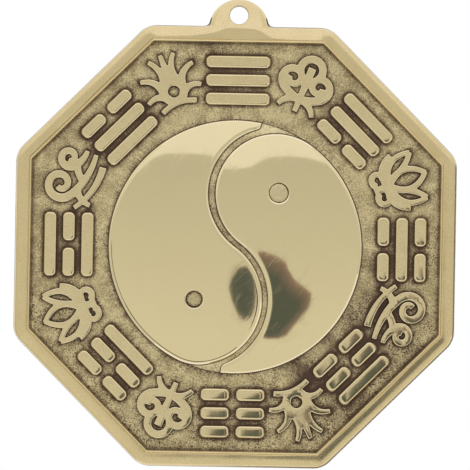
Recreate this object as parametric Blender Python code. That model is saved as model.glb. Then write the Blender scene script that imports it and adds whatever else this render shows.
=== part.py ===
"""Bagua mirror: an octagonal brass wall plaque round a domed yin-yang mirror.

The front faces -Y, +Z is up and +X is to the viewer's right. The origin lies on the axis
of the hanging hole, in the plane of the wall. All lengths are in metres.
"""
import math

import bmesh
import bpy
from mathutils import Matrix, Vector

MM = 0.001

# Gap left wherever one piece seats in or on another
FIT = 0.3 * MM

# Octagonal rim, which sets the size of the mirror and of all that lies round it
ACROSS_FLATS = 150 * MM
RIM_CORNER_RADIUS = 8 * MM
RIM_WALL_HEIGHT = 5.0 * MM
RIM_HEIGHT = 7.5 * MM
RIM_BAND_WIDTH = 5.1 * MM
RIM_GROOVE_WIDTH = 0.8 * MM
RIM_GROOVE_DEPTH = 0.3 * MM
RIM_ARRIS_WIDTH = 0.4 * MM
RIM_INNER_SLOPE = 0.5 * MM
REBATE_WALL = 3.5 * MM

# Ground plate, seated in the rim from behind
PLATE_BACK = 1.5 * MM
PLATE_THICKNESS = 3.0 * MM

# Domed mirror
MIRROR_RADIUS = 0.286 * ACROSS_FLATS
MIRROR_RISE = 6.0 * MM
MIRROR_EDGE_STEP = 1.0 * MM
MIRROR_THICKNESS = 1.6 * MM
DOME_WALL = 2.4 * MM

# The S-shaped channel between the two halves of the mirror
CHANNEL_WIDTH = 2.2 * MM
CHANNEL_DEPTH = 0.8 * MM
YIN_HEAD_OFFSET = 0.5245 * MIRROR_RADIUS
YIN_HEAD_ANGLE = math.radians(53.7)
YANG_HEAD_OFFSET = 0.51 * MIRROR_RADIUS
YANG_HEAD_ANGLE = math.radians(235.2)
YANG_HEAD_BLEND = 0.373 * MIRROR_RADIUS
YANG_TAIL_ANGLE = math.radians(79)
YIN_TAIL_ANGLE = math.radians(264.4)

# Eye plugs
YIN_EYE_DIAMETER = 6.6 * MM
YIN_EYE_DEPTH = 0.45 * MM
YIN_EYE_OFFSET = 0.5478 * MIRROR_RADIUS
YIN_EYE_ANGLE = math.radians(52.1)
YANG_EYE_DIAMETER = 5.8 * MM
YANG_EYE_DEPTH = 0.8 * MM
YANG_EYE_OFFSET = 0.5245 * MIRROR_RADIUS
YANG_EYE_ANGLE = math.radians(232.8)
EYE_TAIL_DIAMETER = 4.0 * MM

# Trigram bars
BAR_GAP = 2.1 * MM
BAR_RELIEF = 1.3 * MM
BAR_DRAFT = 0.35 * MM
BAR_POCKET_DEPTH = 0.8 * MM

# Ornaments in the corners
ORNAMENT_RELIEF = 1.3 * MM
ORNAMENT_DRAFT = 0.25 * MM
PEG_DIAMETER = 1.8 * MM

# Hanging lug
HOLE_ABOVE_RIM = 3.6 * MM
HOLE_DIAMETER = 6.3 * MM
LUG_RADIUS = 10.2 * MM
LUG_CENTRE_BELOW_RIM = 1.0 * MM
LUG_FLARE_RADIUS = 1.2 * MM
LUG_THICKNESS = 5.0 * MM
LUG_EDGE_ROUND = 0.7 * MM
TONGUE_WIDTH = 12 * MM
TONGUE_LENGTH = 2.0 * MM
TONGUE_THICKNESS = 3.6 * MM

# How finely the round shapes are divided
CORNER_STEPS = 4
CROWN_STEPS = 4
LUG_STEPS = 18
BAR_CORNER_STEPS = 2
DOME_SEGMENTS = 48
DOME_RINGS = 7
OUTLINE_STEP = math.radians(7.5)
HOLE_SEGMENTS = 32
PEG_SEGMENTS = 8

# The same for the ornaments' strokes, in ornament units
CURL_STEP = 1.7
SWEEP_STEP = 3.0

# How far a cutter runs past what it cuts
OVERRUN = 5 * MM

APOTHEM = ACROSS_FLATS / 2
REBATE_APOTHEM = APOTHEM - REBATE_WALL
GROUND = PLATE_BACK + PLATE_THICKNESS
DOME_CURVE = (MIRROR_RADIUS**2 + MIRROR_RISE**2) / (2 * MIRROR_RISE)
EIGHTH = math.radians(45)

# The ground between the mirror and the rim, across a flat and across a corner
FIELD_EDGE = APOTHEM - RIM_BAND_WIDTH
FIELD_WIDTH = FIELD_EDGE - MIRROR_RADIUS
CORNER_FIELD_WIDTH = FIELD_EDGE / math.cos(EIGHTH / 2) - MIRROR_RADIUS

# Three rows of bars share out the ground
BAR_LENGTH = 0.708 * APOTHEM * math.tan(EIGHTH / 2)
BAR_ROW_PITCH = 0.2333 * FIELD_WIDTH
BAR_WIDTH = 0.6825 * BAR_ROW_PITCH
BAR_CORNER_RADIUS = 0.42 * BAR_WIDTH
BAR_MIDDLE_ROW = MIRROR_RADIUS + 0.5037 * FIELD_WIDTH

# Ornaments are drawn in units of a 20th of their height
ORNAMENT_HEIGHT = 0.6105 * CORNER_FIELD_WIDTH
ORNAMENT_UNIT = ORNAMENT_HEIGHT / 20
ORNAMENT_DISTANCE = MIRROR_RADIUS + 0.522 * CORNER_FIELD_WIDTH

# The trigrams clockwise from the top, each row from the mirror outward: True is a whole bar
TRIGRAMS = (
    ("heaven", (True, True, True)),
    ("wind", (False, True, True)),
    ("water", (False, True, False)),
    ("mountain", (False, False, True)),
    ("earth", (False, False, False)),
    ("thunder", (True, False, False)),
    ("fire", (True, False, True)),
    ("lake", (True, True, False)),
)
ROW_NAMES = ("inner", "middle", "outer")

# The corners clockwise from the one right of the top
CORNERS = (
    "top_right",
    "right_upper",
    "right_lower",
    "bottom_right",
    "bottom_left",
    "left_lower",
    "left_upper",
    "top_left",
)


# Scene set-up

def clear_scene():
    for old in list(bpy.data.objects):
        bpy.data.objects.remove(old, do_unlink=True)


def brass(name, colour, roughness):
    material = bpy.data.materials.new(name)
    material.use_nodes = True
    shader = material.node_tree.nodes["Principled BSDF"]
    shader.inputs["Base Color"].default_value = (*colour, 1.0)
    shader.inputs["Roughness"].default_value = roughness
    shader.inputs["Metallic"].default_value = 1.0
    return material


def add_object(name, mesh, parent, material=None):
    piece = bpy.data.objects.new(name, mesh)
    bpy.context.scene.collection.objects.link(piece)
    piece.parent = parent
    if material:
        mesh.materials.clear()
        mesh.materials.append(material)
        mesh.shade_smooth()
        mesh.set_sharp_from_angle(angle=math.radians(30))
    return piece


def add_cutter(name, mesh, parent):
    cutter = add_object(name, mesh, parent)
    cutter.hide_render = True
    cutter.display_type = "WIRE"
    return cutter


def boolean(piece, operation, other):
    modifier = piece.modifiers.new(other.name, "BOOLEAN")
    modifier.operation = operation
    modifier.solver = "EXACT"
    modifier.object = other


# Flat outlines, as (x, z) points that run counterclockwise seen from the front

def polar(radius, angle):
    return Vector((radius * math.cos(angle), radius * math.sin(angle)))


def arc(centre, radius, start, end, steps=None):
    """Points on a circle from the start angle to the end angle, both included."""
    if steps is None:
        steps = max(2, round(abs(end - start) / OUTLINE_STEP))
    angles = (start + (end - start) * i / steps for i in range(steps + 1))
    return [centre + polar(radius, angle) for angle in angles]


def octagon(apothem, corner_radius=0.0):
    """A regular octagon with a flat at the top, its corners rounded if a radius is given."""
    half_angle = EIGHTH / 2
    corner_distance = (apothem - corner_radius) / math.cos(half_angle)
    points = []
    for i in range(8):
        angle = half_angle + i * EIGHTH
        centre = polar(corner_distance, angle)
        if corner_radius > 0:
            points += arc(centre, corner_radius, angle - half_angle, angle + half_angle, CORNER_STEPS)
        else:
            points.append(centre)
    return points


def rounded_bar(length, width, corner_radius):
    points = []
    for i, (side, end) in enumerate(((1, 1), (-1, 1), (-1, -1), (1, -1))):
        centre = Vector((side * (length / 2 - corner_radius), end * (width / 2 - corner_radius)))
        start = i * math.pi / 2
        points += arc(centre, corner_radius, start, start + math.pi / 2, BAR_CORNER_STEPS)
    return points


# Solids

def add_stack(bm, rings, place=Matrix()):
    """Closed solid through outlines of equal point count, each a (points, depth) pair."""
    loops = []
    for points, depth in rings:
        loops.append([bm.verts.new(place @ Vector((x, -depth, z))) for x, z in points])
    for lower, upper in zip(loops, loops[1:]):
        for i in range(len(lower)):
            j = (i + 1) % len(lower)
            bm.faces.new((lower[i], lower[j], upper[j], upper[i]))
    bm.faces.new(list(reversed(loops[0])))
    bm.faces.new(loops[-1])


def finish_mesh(name, bm):
    bmesh.ops.recalc_face_normals(bm, faces=bm.faces)
    mesh = bpy.data.meshes.new(name)
    bm.to_mesh(mesh)
    bm.free()
    return mesh


def stack_mesh(name, rings):
    bm = bmesh.new()
    add_stack(bm, rings)
    return finish_mesh(name, bm)


def prism_mesh(name, points, back, front):
    return stack_mesh(name, ((points, back), (points, front)))


def lathe_mesh(name, profile, segments):
    """Closed solid turned about the Y axis from (radius, depth) points, both ends on the axis."""
    bm = bmesh.new()
    verts = [bm.verts.new((radius, -depth, 0)) for radius, depth in profile]
    edges = [bm.edges.new(pair) for pair in zip(verts, verts[1:])]
    bmesh.ops.spin(
        bm,
        geom=verts + edges,
        cent=(0, 0, 0),
        axis=(0, 1, 0),
        angle=math.tau,
        steps=segments,
        use_merge=True,
    )
    bmesh.ops.remove_doubles(bm, verts=bm.verts, dist=0.001 * MM)
    return finish_mesh(name, bm)


# The domed mirror and its taijitu outline

def mirror_depth(radius):
    """Depth of the mirror's polished face at a distance from the dome's axis."""
    rise = math.sqrt(DOME_CURVE**2 - radius**2) - (DOME_CURVE - MIRROR_RISE)
    return GROUND + MIRROR_EDGE_STEP + rise


def dome_profile(outer_radius, drop):
    """Points from the axis outward on the mirror's curve, set back by a drop."""
    radii = (outer_radius * i / DOME_RINGS for i in range(DOME_RINGS + 1))
    return [(radius, mirror_depth(radius) - drop) for radius in radii]


# The plate's dome lies this far behind the polished face, and cutters reach this far forward
SEAT_FACE = MIRROR_THICKNESS + FIT
SEAT_RADIUS = MIRROR_RADIUS + FIT
FRONT_LIMIT = mirror_depth(0) + OVERRUN


def circle_crossing(centre, radius, angle):
    """Far point where a line from the middle at this angle leaves a circle."""
    along = centre.dot(polar(1, angle))
    reach = along + math.sqrt(along**2 - centre.length_squared + radius**2)
    return polar(reach, angle)


def direction(start, end):
    return math.atan2(end.y - start.y, end.x - start.x)


def taijitu_halves(grow=0.0):
    """Outlines of the yang and the yin half, each grown outward by a clearance.

    The yin head touches the edge of the mirror, the yang head runs into it by a blend, and
    the two lobes of the channel touch each other on the line between the heads.
    """
    yin_centre = polar(YIN_HEAD_OFFSET, YIN_HEAD_ANGLE)
    yang_centre = polar(YANG_HEAD_OFFSET, YANG_HEAD_ANGLE)
    yin_head = MIRROR_RADIUS - YIN_HEAD_OFFSET
    yin_lobe = yin_head + CHANNEL_WIDTH / 2
    yang_lobe = (yin_centre - yang_centre).length - yin_lobe
    yang_head = yang_lobe - CHANNEL_WIDTH / 2
    middle = Vector((0, 0))
    edge = MIRROR_RADIUS + grow
    to_yin = direction(yang_centre, yin_centre)
    to_yang = to_yin + math.pi

    # The blend circle rounds the corner where the yang head would run out past the mirror's
    # edge, and touches both from within
    blend_offset = MIRROR_RADIUS - YANG_HEAD_BLEND
    reach = yang_head - YANG_HEAD_BLEND
    sides = blend_offset**2 + YANG_HEAD_OFFSET**2 - reach**2
    swing = math.acos(sides / (2 * blend_offset * YANG_HEAD_OFFSET))
    blend_start = YANG_HEAD_ANGLE + swing
    blend_centre = polar(blend_offset, blend_start)
    blend_end = direction(yang_centre, blend_centre) + math.tau

    # The tails stop square, where the channel's outer wall has come close to the edge
    yang_hollow = yin_lobe + CHANNEL_WIDTH / 2 - grow
    tip = circle_crossing(yin_centre, yang_hollow, YANG_TAIL_ANGLE - grow / edge)
    yang = arc(middle, edge, YANG_TAIL_ANGLE - grow / edge, blend_start)
    yang += arc(blend_centre, YANG_HEAD_BLEND + grow, blend_start, blend_end)[1:]
    yang += arc(yang_centre, yang_head + grow, blend_end, to_yin + math.tau)[1:]
    yang += arc(yin_centre, yang_hollow, to_yang, direction(yin_centre, tip))[1:]

    yin_hollow = yang_lobe + CHANNEL_WIDTH / 2 - grow
    tip = circle_crossing(yang_centre, yin_hollow, YIN_TAIL_ANGLE - grow / edge)
    yin = arc(middle, edge, YIN_TAIL_ANGLE - grow / edge, YIN_HEAD_ANGLE + math.tau)
    yin += arc(yin_centre, yin_head + grow, YIN_HEAD_ANGLE, to_yang)[1:]
    yin += arc(yang_centre, yin_hollow, to_yin, direction(yang_centre, tip))[1:]
    return yang, yin


def eye_place(offset, angle):
    """Matrix at an eye, on the polished face and square to it, with -Y pointing out."""
    centre = polar(offset, angle)
    point = Vector((centre.x, -mirror_depth(offset), centre.y))
    dome_middle = Vector((0, DOME_CURVE - mirror_depth(0), 0))
    outward = (point - dome_middle).normalized()
    turn = Vector((0, -1, 0)).rotation_difference(outward)
    return Matrix.LocRotScale(point, turn, None)


def add_mirror_half(name, outline, eye_diameter, eye_matrix, parent, material):
    rim_radius = MIRROR_RADIUS + OVERRUN / 2
    outer_face = dome_profile(rim_radius, 0)
    inner_face = list(reversed(dome_profile(rim_radius, MIRROR_THICKNESS)))
    shell = lathe_mesh(name, outer_face + inner_face, DOME_SEGMENTS)
    half = add_object(name, shell, parent, material)
    block = prism_mesh(name + "_outline", outline, 0, FRONT_LIMIT)
    boolean(half, "INTERSECT", add_cutter(name + "_outline", block, parent))
    bore = eye_diameter / 2 + FIT
    hole = lathe_mesh(name + "_eye_hole", cylinder_profile(bore, -OVERRUN, OVERRUN), HOLE_SEGMENTS)
    cutter = add_cutter(name + "_eye_hole", hole, parent)
    cutter.matrix_local = eye_matrix
    boolean(half, "DIFFERENCE", cutter)


def cylinder_profile(radius, back, front):
    return [(0, back), (radius, back), (radius, front), (0, front)]


def add_eye_plug(name, diameter, sunk, eye_matrix, parent, material):
    """A stepped plug: its head fills the hole in the mirror, its tail goes through the plate."""
    shoulder = -MIRROR_THICKNESS
    tail_end = -(SEAT_FACE + DOME_WALL + FIT)
    profile = [
        (0, -sunk),
        (diameter / 2, -sunk),
        (diameter / 2, shoulder),
        (EYE_TAIL_DIAMETER / 2, shoulder),
        (EYE_TAIL_DIAMETER / 2, tail_end),
        (0, tail_end),
    ]
    plug = add_object(name, lathe_mesh(name, profile, HOLE_SEGMENTS), parent, material)
    plug.matrix_local = eye_matrix


# Trigram bars

def bar_places():
    """Name, whole-bar flag and matrix of each bar, clockwise from the top trigram."""
    half_length = (BAR_LENGTH - BAR_GAP) / 2
    aside = (half_length + BAR_GAP) / 2
    for turn, (trigram, rows) in enumerate(TRIGRAMS):
        rotation = Matrix.Rotation(turn * EIGHTH, 4, "Y")
        for row, whole in enumerate(rows):
            distance = BAR_MIDDLE_ROW + (row - 1) * BAR_ROW_PITCH
            name = f"{trigram}_bar_{ROW_NAMES[row]}"
            if whole:
                yield name, True, rotation @ Matrix.Translation((0, 0, distance))
                continue
            for side, shift in (("left", -aside), ("right", aside)):
                yield f"{name}_{side}", False, rotation @ Matrix.Translation((shift, 0, distance))


def bar_outline(whole, grow=0.0):
    length = BAR_LENGTH if whole else (BAR_LENGTH - BAR_GAP) / 2
    return rounded_bar(length + 2 * grow, BAR_WIDTH + 2 * grow, BAR_CORNER_RADIUS + grow)


def bar_mesh(name, whole):
    foot = GROUND - BAR_POCKET_DEPTH + FIT
    side = bar_outline(whole)
    top = bar_outline(whole, -BAR_DRAFT)
    return stack_mesh(name, ((side, foot), (side, GROUND), (top, GROUND + BAR_RELIEF)))


def add_bars(parent, material):
    meshes = {whole: bar_mesh("bar", whole) for whole in (True, False)}
    for name, whole, matrix in bar_places():
        bar = add_object(name, meshes[whole], parent, material)
        bar.matrix_local = matrix


# Corner ornaments: brush strokes in ornament units about the middle of each corner's place

def curl(x, z, first_radius, last_radius, first_angle, last_angle, first_width, last_width):
    """A stroke along a spiral arc, as (point, direction across, width) at each step."""
    turn = math.radians(last_angle - first_angle)
    sweep_length = abs(turn) * (first_radius + last_radius) / 2
    steps = max(3, round(sweep_length / CURL_STEP))
    stroke = []
    for i in range(steps + 1):
        share = i / steps
        radius = first_radius + (last_radius - first_radius) * share
        across = polar(1, math.radians(first_angle) + turn * share)
        width = first_width + (last_width - first_width) * share
        stroke.append((Vector((x, z)) + radius * across, across, width))
    return stroke


def sweep(x, z, last_x, last_z, bulge, first_width, last_width):
    """A stroke from one point to another, bowed to its left by a bulge."""
    start = Vector((x, z))
    chord = Vector((last_x, last_z)) - start
    left = Vector((-chord.y, chord.x)).normalized()
    steps = max(2, round(chord.length / SWEEP_STEP)) if bulge else 1
    stroke = []
    for i in range(steps + 1):
        share = i / steps
        point = start + chord * share + left * 4 * bulge * share * (1 - share)
        heading = chord + left * 4 * bulge * (1 - 2 * share)
        across = Vector((heading.y, -heading.x)).normalized()
        width = first_width + (last_width - first_width) * share
        stroke.append((point, across, width))
    return stroke


def mirrored(stroke):
    flip = Vector((-1, 1))
    return [(point * flip, across * flip, width) for point, across, width in stroke]


def both_sides(stroke):
    return [stroke, mirrored(stroke)]


def cloud_strokes():
    return [
        *both_sides(curl(-4.7, 0.6, 4.2, 1.2, 248, -190, 2.2, 1.5)),
        *both_sides(sweep(0.6, -5.6, -7.1, -2.84, 0.55, 2.2, 2.2)),
        *both_sides(sweep(-0.4, -5.2, -6.2, -9.5, -1.0, 2.2, 1.0)),
        curl(0, 5.2, 3.8, 3.8, -35, 215, 2.1, 2.1),
        sweep(0, -9.8, 0, 6.0, 0, 1.2, 2.2),
    ]


def drifting_cloud_strokes():
    return [
        curl(-3.9, 2.9, 5.2, 1.3, 250, -205, 2.4, 1.5),
        sweep(9.8, -4.4, -5.6, -2.1, 1.2, 1.0, 2.4),
        curl(5.5, 3.6, 3.5, 1.1, 250, -180, 2.2, 1.4),
        sweep(9.9, -1.2, 4.3, 0.3, 0.5, 1.0, 2.2),
        sweep(-0.4, -4.0, 4.6, 0.4, 0.5, 1.6, 2.0),
        sweep(-9.6, -4.6, 6.8, -8.2, -1.6, 1.0, 1.9),
        sweep(-3.4, -3.0, -6.8, -9.2, -1.0, 2.0, 1.0),
    ]


def flaming_pearl_strokes():
    return [
        curl(0, -3.4, 3.4, 3.4, -95, 95, 2.2, 2.2),
        curl(0, -3.4, 3.4, 3.4, 85, 275, 2.2, 2.2),
        sweep(0, -0.5, 0, 9.8, 0, 2.6, 0.9),
        *both_sides(sweep(-2.6, -1.2, -4.6, 9.0, -1.6, 2.4, 0.9)),
        *both_sides(sweep(-3.4, -3.0, -9.6, 3.6, -1.8, 2.4, 0.9)),
        *both_sides(sweep(-2.4, -5.4, -9.6, -4.4, -1.5, 2.2, 0.9)),
        sweep(-6.2, -8.9, 6.2, -8.9, 1.5, 1.2, 1.2),
    ]


def lotus_strokes():
    return [
        *both_sides(sweep(0.2, -4.2, 0.2, 9.4, 3.6, 2.0, 1.1)),
        *both_sides(sweep(-1.0, -4.0, -8.2, 6.8, 3.2, 2.0, 1.1)),
        *both_sides(sweep(-3.0, 0.4, -8.2, 6.8, -0.6, 1.6, 1.1)),
        *both_sides(sweep(-0.6, -4.6, -9.7, 0.2, 2.2, 2.0, 0.9)),
        *both_sides(curl(-3.5, -6.7, 2.5, 1.2, -20, -310, 1.8, 1.1)),
        sweep(0, -9.2, 0, -3.5, 0, 1.8, 2.2),
    ]


# Each design: its strokes, and the two places where pegs hold it to the plate
ORNAMENT_DESIGNS = (
    ("cloud", cloud_strokes(), ((0, -5.4), (0, 8.9))),
    ("lotus", lotus_strokes(), ((0, -4.8), (0, -8.2))),
    ("drifting_cloud", drifting_cloud_strokes(), ((-5.6, -2.2), (4.3, 0.4))),
    ("flaming_pearl", flaming_pearl_strokes(), ((0, 1.2), (0, -7.0))),
)


def ribbon(stroke, inset):
    """Closed outline of a stroke, drawn in by an inset on both long edges."""
    left = []
    right = []
    for point, across, width in stroke:
        reach = across * (width / 2 * ORNAMENT_UNIT - inset)
        left.append(point * ORNAMENT_UNIT - reach)
        right.append(point * ORNAMENT_UNIT + reach)
    return left + right[::-1]


def peg_place(x, z):
    return Matrix.Translation((x * ORNAMENT_UNIT, 0, z * ORNAMENT_UNIT))


def ornament_mesh(name, strokes, pegs):
    """One connected solid: the drafted strokes united with each other and with the pegs."""
    back = GROUND + FIT
    front = GROUND + ORNAMENT_RELIEF
    meshes = []
    for stroke in strokes:
        rings = ((ribbon(stroke, 0), back), (ribbon(stroke, ORNAMENT_DRAFT), front))
        meshes.append(stack_mesh(name, rings))
    for x, z in pegs:
        profile = cylinder_profile(PEG_DIAMETER / 2, PLATE_BACK, (back + front) / 2)
        peg = lathe_mesh(name, profile, PEG_SEGMENTS)
        peg.transform(peg_place(x, z))
        meshes.append(peg)
    base = add_object(name, meshes[0], None)
    others = [add_object(name, mesh, None) for mesh in meshes[1:]]
    for other in others:
        boolean(base, "UNION", other)
    evaluated = base.evaluated_get(bpy.context.evaluated_depsgraph_get())
    united = bpy.data.meshes.new_from_object(evaluated)
    for spare in (base, *others):
        bpy.data.objects.remove(spare, do_unlink=True)
    return united


def corner_places():
    """Name, design number and matrix of each corner ornament, clockwise from the top right."""
    for turn, corner in enumerate(CORNERS):
        rotation = Matrix.Rotation((turn + 0.5) * EIGHTH, 4, "Y")
        place = rotation @ Matrix.Translation((0, 0, ORNAMENT_DISTANCE))
        design = turn % len(ORNAMENT_DESIGNS)
        yield f"{ORNAMENT_DESIGNS[design][0]}_ornament_{corner}", design, place


def add_ornaments(parent, material):
    meshes = [ornament_mesh(*design) for design in ORNAMENT_DESIGNS]
    for name, design, place in corner_places():
        ornament = add_object(name, meshes[design], parent, material)
        ornament.matrix_local = place


# Ground plate

def add_ground_plate(halves, eyes, parent, material):
    """Octagonal plate with a hollow dome, pocketed for all that stands on it."""
    outline = octagon(REBATE_APOTHEM - FIT)
    plate_mesh = prism_mesh("ground_plate", outline, PLATE_BACK, FRONT_LIMIT - OVERRUN / 2)
    plate = add_object("ground_plate", plate_mesh, parent, material)

    # Takes away all in front of the ground and of the channel's floor, which runs out into it
    floor_drop = DOME_CURVE - MIRROR_RISE - (MIRROR_EDGE_STEP - CHANNEL_DEPTH)
    floor_radius = math.sqrt(DOME_CURVE**2 - floor_drop**2)
    far = 2 * APOTHEM
    relief = dome_profile(floor_radius, CHANNEL_DEPTH)
    relief += [(far, GROUND), (far, FRONT_LIMIT), (0, FRONT_LIMIT)]
    relief_cutter = lathe_mesh("ground_relief", relief, DOME_SEGMENTS)
    boolean(plate, "DIFFERENCE", add_cutter("ground_relief", relief_cutter, parent))

    # Seats for the two halves, which leave the channel's floor standing between them
    seat = dome_profile(SEAT_RADIUS + OVERRUN / 2, SEAT_FACE)
    seat += [(SEAT_RADIUS + OVERRUN / 2, FRONT_LIMIT), (0, FRONT_LIMIT)]
    for side, half in zip(("yang", "yin"), halves):
        name = f"{side}_mirror_seat"
        cutter = add_cutter(name, lathe_mesh(name, seat, DOME_SEGMENTS), parent)
        block = prism_mesh(name + "_outline", half, 0, FRONT_LIMIT + OVERRUN)
        boolean(cutter, "INTERSECT", add_cutter(name + "_outline", block, parent))
        boolean(plate, "DIFFERENCE", cutter)

    # The back is hollowed to leave an even wall under the dome
    back_profile = dome_profile(SEAT_RADIUS, SEAT_FACE + DOME_WALL)
    hollow = back_profile + [(SEAT_RADIUS, -OVERRUN), (0, -OVERRUN)]
    hollow_cutter = lathe_mesh("dome_hollow", hollow, DOME_SEGMENTS)
    boolean(plate, "DIFFERENCE", add_cutter("dome_hollow", hollow_cutter, parent))

    for number, eye_matrix in enumerate(eyes):
        name = f"eye_tail_hole_{number}"
        profile = cylinder_profile(EYE_TAIL_DIAMETER / 2 + FIT, -2 * OVERRUN, OVERRUN)
        cutter = add_cutter(name, lathe_mesh(name, profile, HOLE_SEGMENTS), parent)
        cutter.matrix_local = eye_matrix
        boolean(plate, "DIFFERENCE", cutter)

    pockets = bmesh.new()
    for _, whole, place in bar_places():
        outline = bar_outline(whole, FIT)
        rings = ((outline, GROUND - BAR_POCKET_DEPTH), (outline, GROUND + OVERRUN))
        add_stack(pockets, rings, place)
    peg_hole = arc(Vector((0, 0)), PEG_DIAMETER / 2 + FIT, 0, math.tau, PEG_SEGMENTS)[:-1]
    for _, design, place in corner_places():
        for x, z in ORNAMENT_DESIGNS[design][2]:
            rings = ((peg_hole, 0), (peg_hole, GROUND + OVERRUN))
            add_stack(pockets, rings, place @ peg_place(x, z))
    pocket_cutter = add_cutter("pockets", finish_mesh("pockets", pockets), parent)
    boolean(plate, "DIFFERENCE", pocket_cutter)


# Rim frame and hanging lug

def add_rim_frame(parent, material):
    """Octagonal frame: rounded outer edge, crowned band, a groove and a raised inner arris."""
    crown_width = RIM_BAND_WIDTH - RIM_GROOVE_WIDTH - RIM_ARRIS_WIDTH
    section = [(0, 0), (0, RIM_WALL_HEIGHT)]
    for step in range(1, CROWN_STEPS + 1):
        angle = math.pi / 2 * step / CROWN_STEPS
        height = RIM_WALL_HEIGHT + (RIM_HEIGHT - RIM_WALL_HEIGHT) * math.sin(angle)
        section.append((crown_width * (1 - math.cos(angle)), height))
    section.append((crown_width + RIM_GROOVE_WIDTH / 2, RIM_HEIGHT - RIM_GROOVE_DEPTH))
    section.append((crown_width + RIM_GROOVE_WIDTH, RIM_HEIGHT))
    rings = [(octagon(APOTHEM - inset, RIM_CORNER_RADIUS - inset), depth) for inset, depth in section]
    rim = add_object("rim_frame", stack_mesh("rim_frame", rings), parent, material)

    # The opening: a rebate for the plate, a lip in front of it and a sloping inner wall
    lip_back = GROUND + FIT
    slope = RIM_INNER_SLOPE / (RIM_HEIGHT - lip_back)
    opening = (
        (octagon(REBATE_APOTHEM), -OVERRUN),
        (octagon(REBATE_APOTHEM), lip_back),
        (octagon(FIELD_EDGE - RIM_INNER_SLOPE), lip_back),
        (octagon(FIELD_EDGE + slope * OVERRUN), RIM_HEIGHT + OVERRUN),
    )
    boolean(rim, "DIFFERENCE", add_cutter("rim_opening", stack_mesh("rim_opening", opening), parent))

    notch = tongue_mesh("tongue_notch", FIT, OVERRUN)
    boolean(rim, "DIFFERENCE", add_cutter("tongue_notch", notch, parent))


def tongue_mesh(name, grow, past):
    """The block that joins lug and rim, grown by a clearance where it makes the notch."""
    half = TONGUE_WIDTH / 2 + grow
    bottom = APOTHEM - TONGUE_LENGTH - grow
    top = APOTHEM + LUG_FLARE_RADIUS + past
    outline = [Vector(point) for point in ((-half, bottom), (half, bottom), (half, top), (-half, top))]
    return prism_mesh(name, outline, -past, TONGUE_THICKNESS + grow)


def lug_outline(inset):
    """Round lug on the top flat, flared where it meets the rim, drawn in by an inset."""
    centre = Vector((0, APOTHEM - LUG_CENTRE_BELOW_RIM))
    base = APOTHEM + FIT
    flare_height = base + LUG_FLARE_RADIUS
    reach = LUG_RADIUS + LUG_FLARE_RADIUS
    flare_x = math.sqrt(reach**2 - (flare_height - centre.y) ** 2)
    flare_centre = Vector((flare_x, flare_height))
    flare_radius = LUG_FLARE_RADIUS + inset
    meeting = direction(flare_centre, centre) + math.tau
    start = math.pi + math.asin(LUG_FLARE_RADIUS / flare_radius)
    right = arc(flare_centre, flare_radius, start, meeting, CORNER_STEPS)
    lift = meeting - math.pi
    crown = arc(centre, LUG_RADIUS - inset, lift, math.pi - lift, LUG_STEPS)
    left = [Vector((-point.x, point.y)) for point in reversed(right)]
    return right + crown[1:-1] + left


def add_hanging_lug(parent, material):
    full = lug_outline(0)
    rings = (
        (full, 0),
        (full, LUG_THICKNESS - LUG_EDGE_ROUND),
        (lug_outline(LUG_EDGE_ROUND), LUG_THICKNESS),
    )
    lug = add_object("hanging_lug", stack_mesh("hanging_lug", rings), parent, material)
    tongue = tongue_mesh("lug_tongue", 0, 0)
    boolean(lug, "UNION", add_cutter("lug_tongue", tongue, parent))
    profile = cylinder_profile(HOLE_DIAMETER / 2, -OVERRUN, LUG_THICKNESS + OVERRUN)
    hole = add_cutter("nail_hole", lathe_mesh("nail_hole", profile, HOLE_SEGMENTS), parent)
    hole.location = (0, 0, APOTHEM + HOLE_ABOVE_RIM)
    boolean(lug, "DIFFERENCE", hole)


def main():
    clear_scene()
    rim_brass = brass("rim brass", (0.60, 0.47, 0.24), 0.25)
    aged_brass = brass("aged brass", (0.34, 0.28, 0.14), 0.6)
    relief_brass = brass("relief brass", (0.56, 0.45, 0.23), 0.3)
    mirror_brass = brass("mirror brass", (0.62, 0.52, 0.28), 0.08)
    eye_brass = brass("eye brass", (0.40, 0.33, 0.18), 0.5)

    # All pieces are placed from the middle of the plaque, below the hanging hole
    middle = bpy.data.objects.new("plaque_middle", None)
    bpy.context.scene.collection.objects.link(middle)
    middle.location = (0, 0, -(APOTHEM + HOLE_ABOVE_RIM))

    yin_eye = eye_place(YIN_EYE_OFFSET, YIN_EYE_ANGLE)
    yang_eye = eye_place(YANG_EYE_OFFSET, YANG_EYE_ANGLE)
    yang, yin = taijitu_halves()

    add_rim_frame(middle, rim_brass)
    add_hanging_lug(middle, rim_brass)
    add_ground_plate(taijitu_halves(FIT), (yang_eye, yin_eye), middle, aged_brass)
    add_mirror_half("yang_mirror_half", yang, YANG_EYE_DIAMETER, yang_eye, middle, mirror_brass)
    add_mirror_half("yin_mirror_half", yin, YIN_EYE_DIAMETER, yin_eye, middle, mirror_brass)
    add_eye_plug("yang_eye_plug", YANG_EYE_DIAMETER, YANG_EYE_DEPTH, yang_eye, middle, eye_brass)
    add_eye_plug("yin_eye_plug", YIN_EYE_DIAMETER, YIN_EYE_DEPTH, yin_eye, middle, eye_brass)
    add_bars(middle, relief_brass)
    add_ornaments(middle, relief_brass)


main()
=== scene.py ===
"""Bagua mirror: an octagonal brass plaque round a domed yin-yang mirror, in the pose it hangs in.

The front faces -Y and Z is up. Depth is measured forward from the wall, so y is minus depth.
"""
import math

import bmesh
import bpy
import numpy as np
from mathutils import Matrix, Vector, noise
from mathutils.bvhtree import BVHTree
from mathutils.geometry import delaunay_2d_cdt


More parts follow.
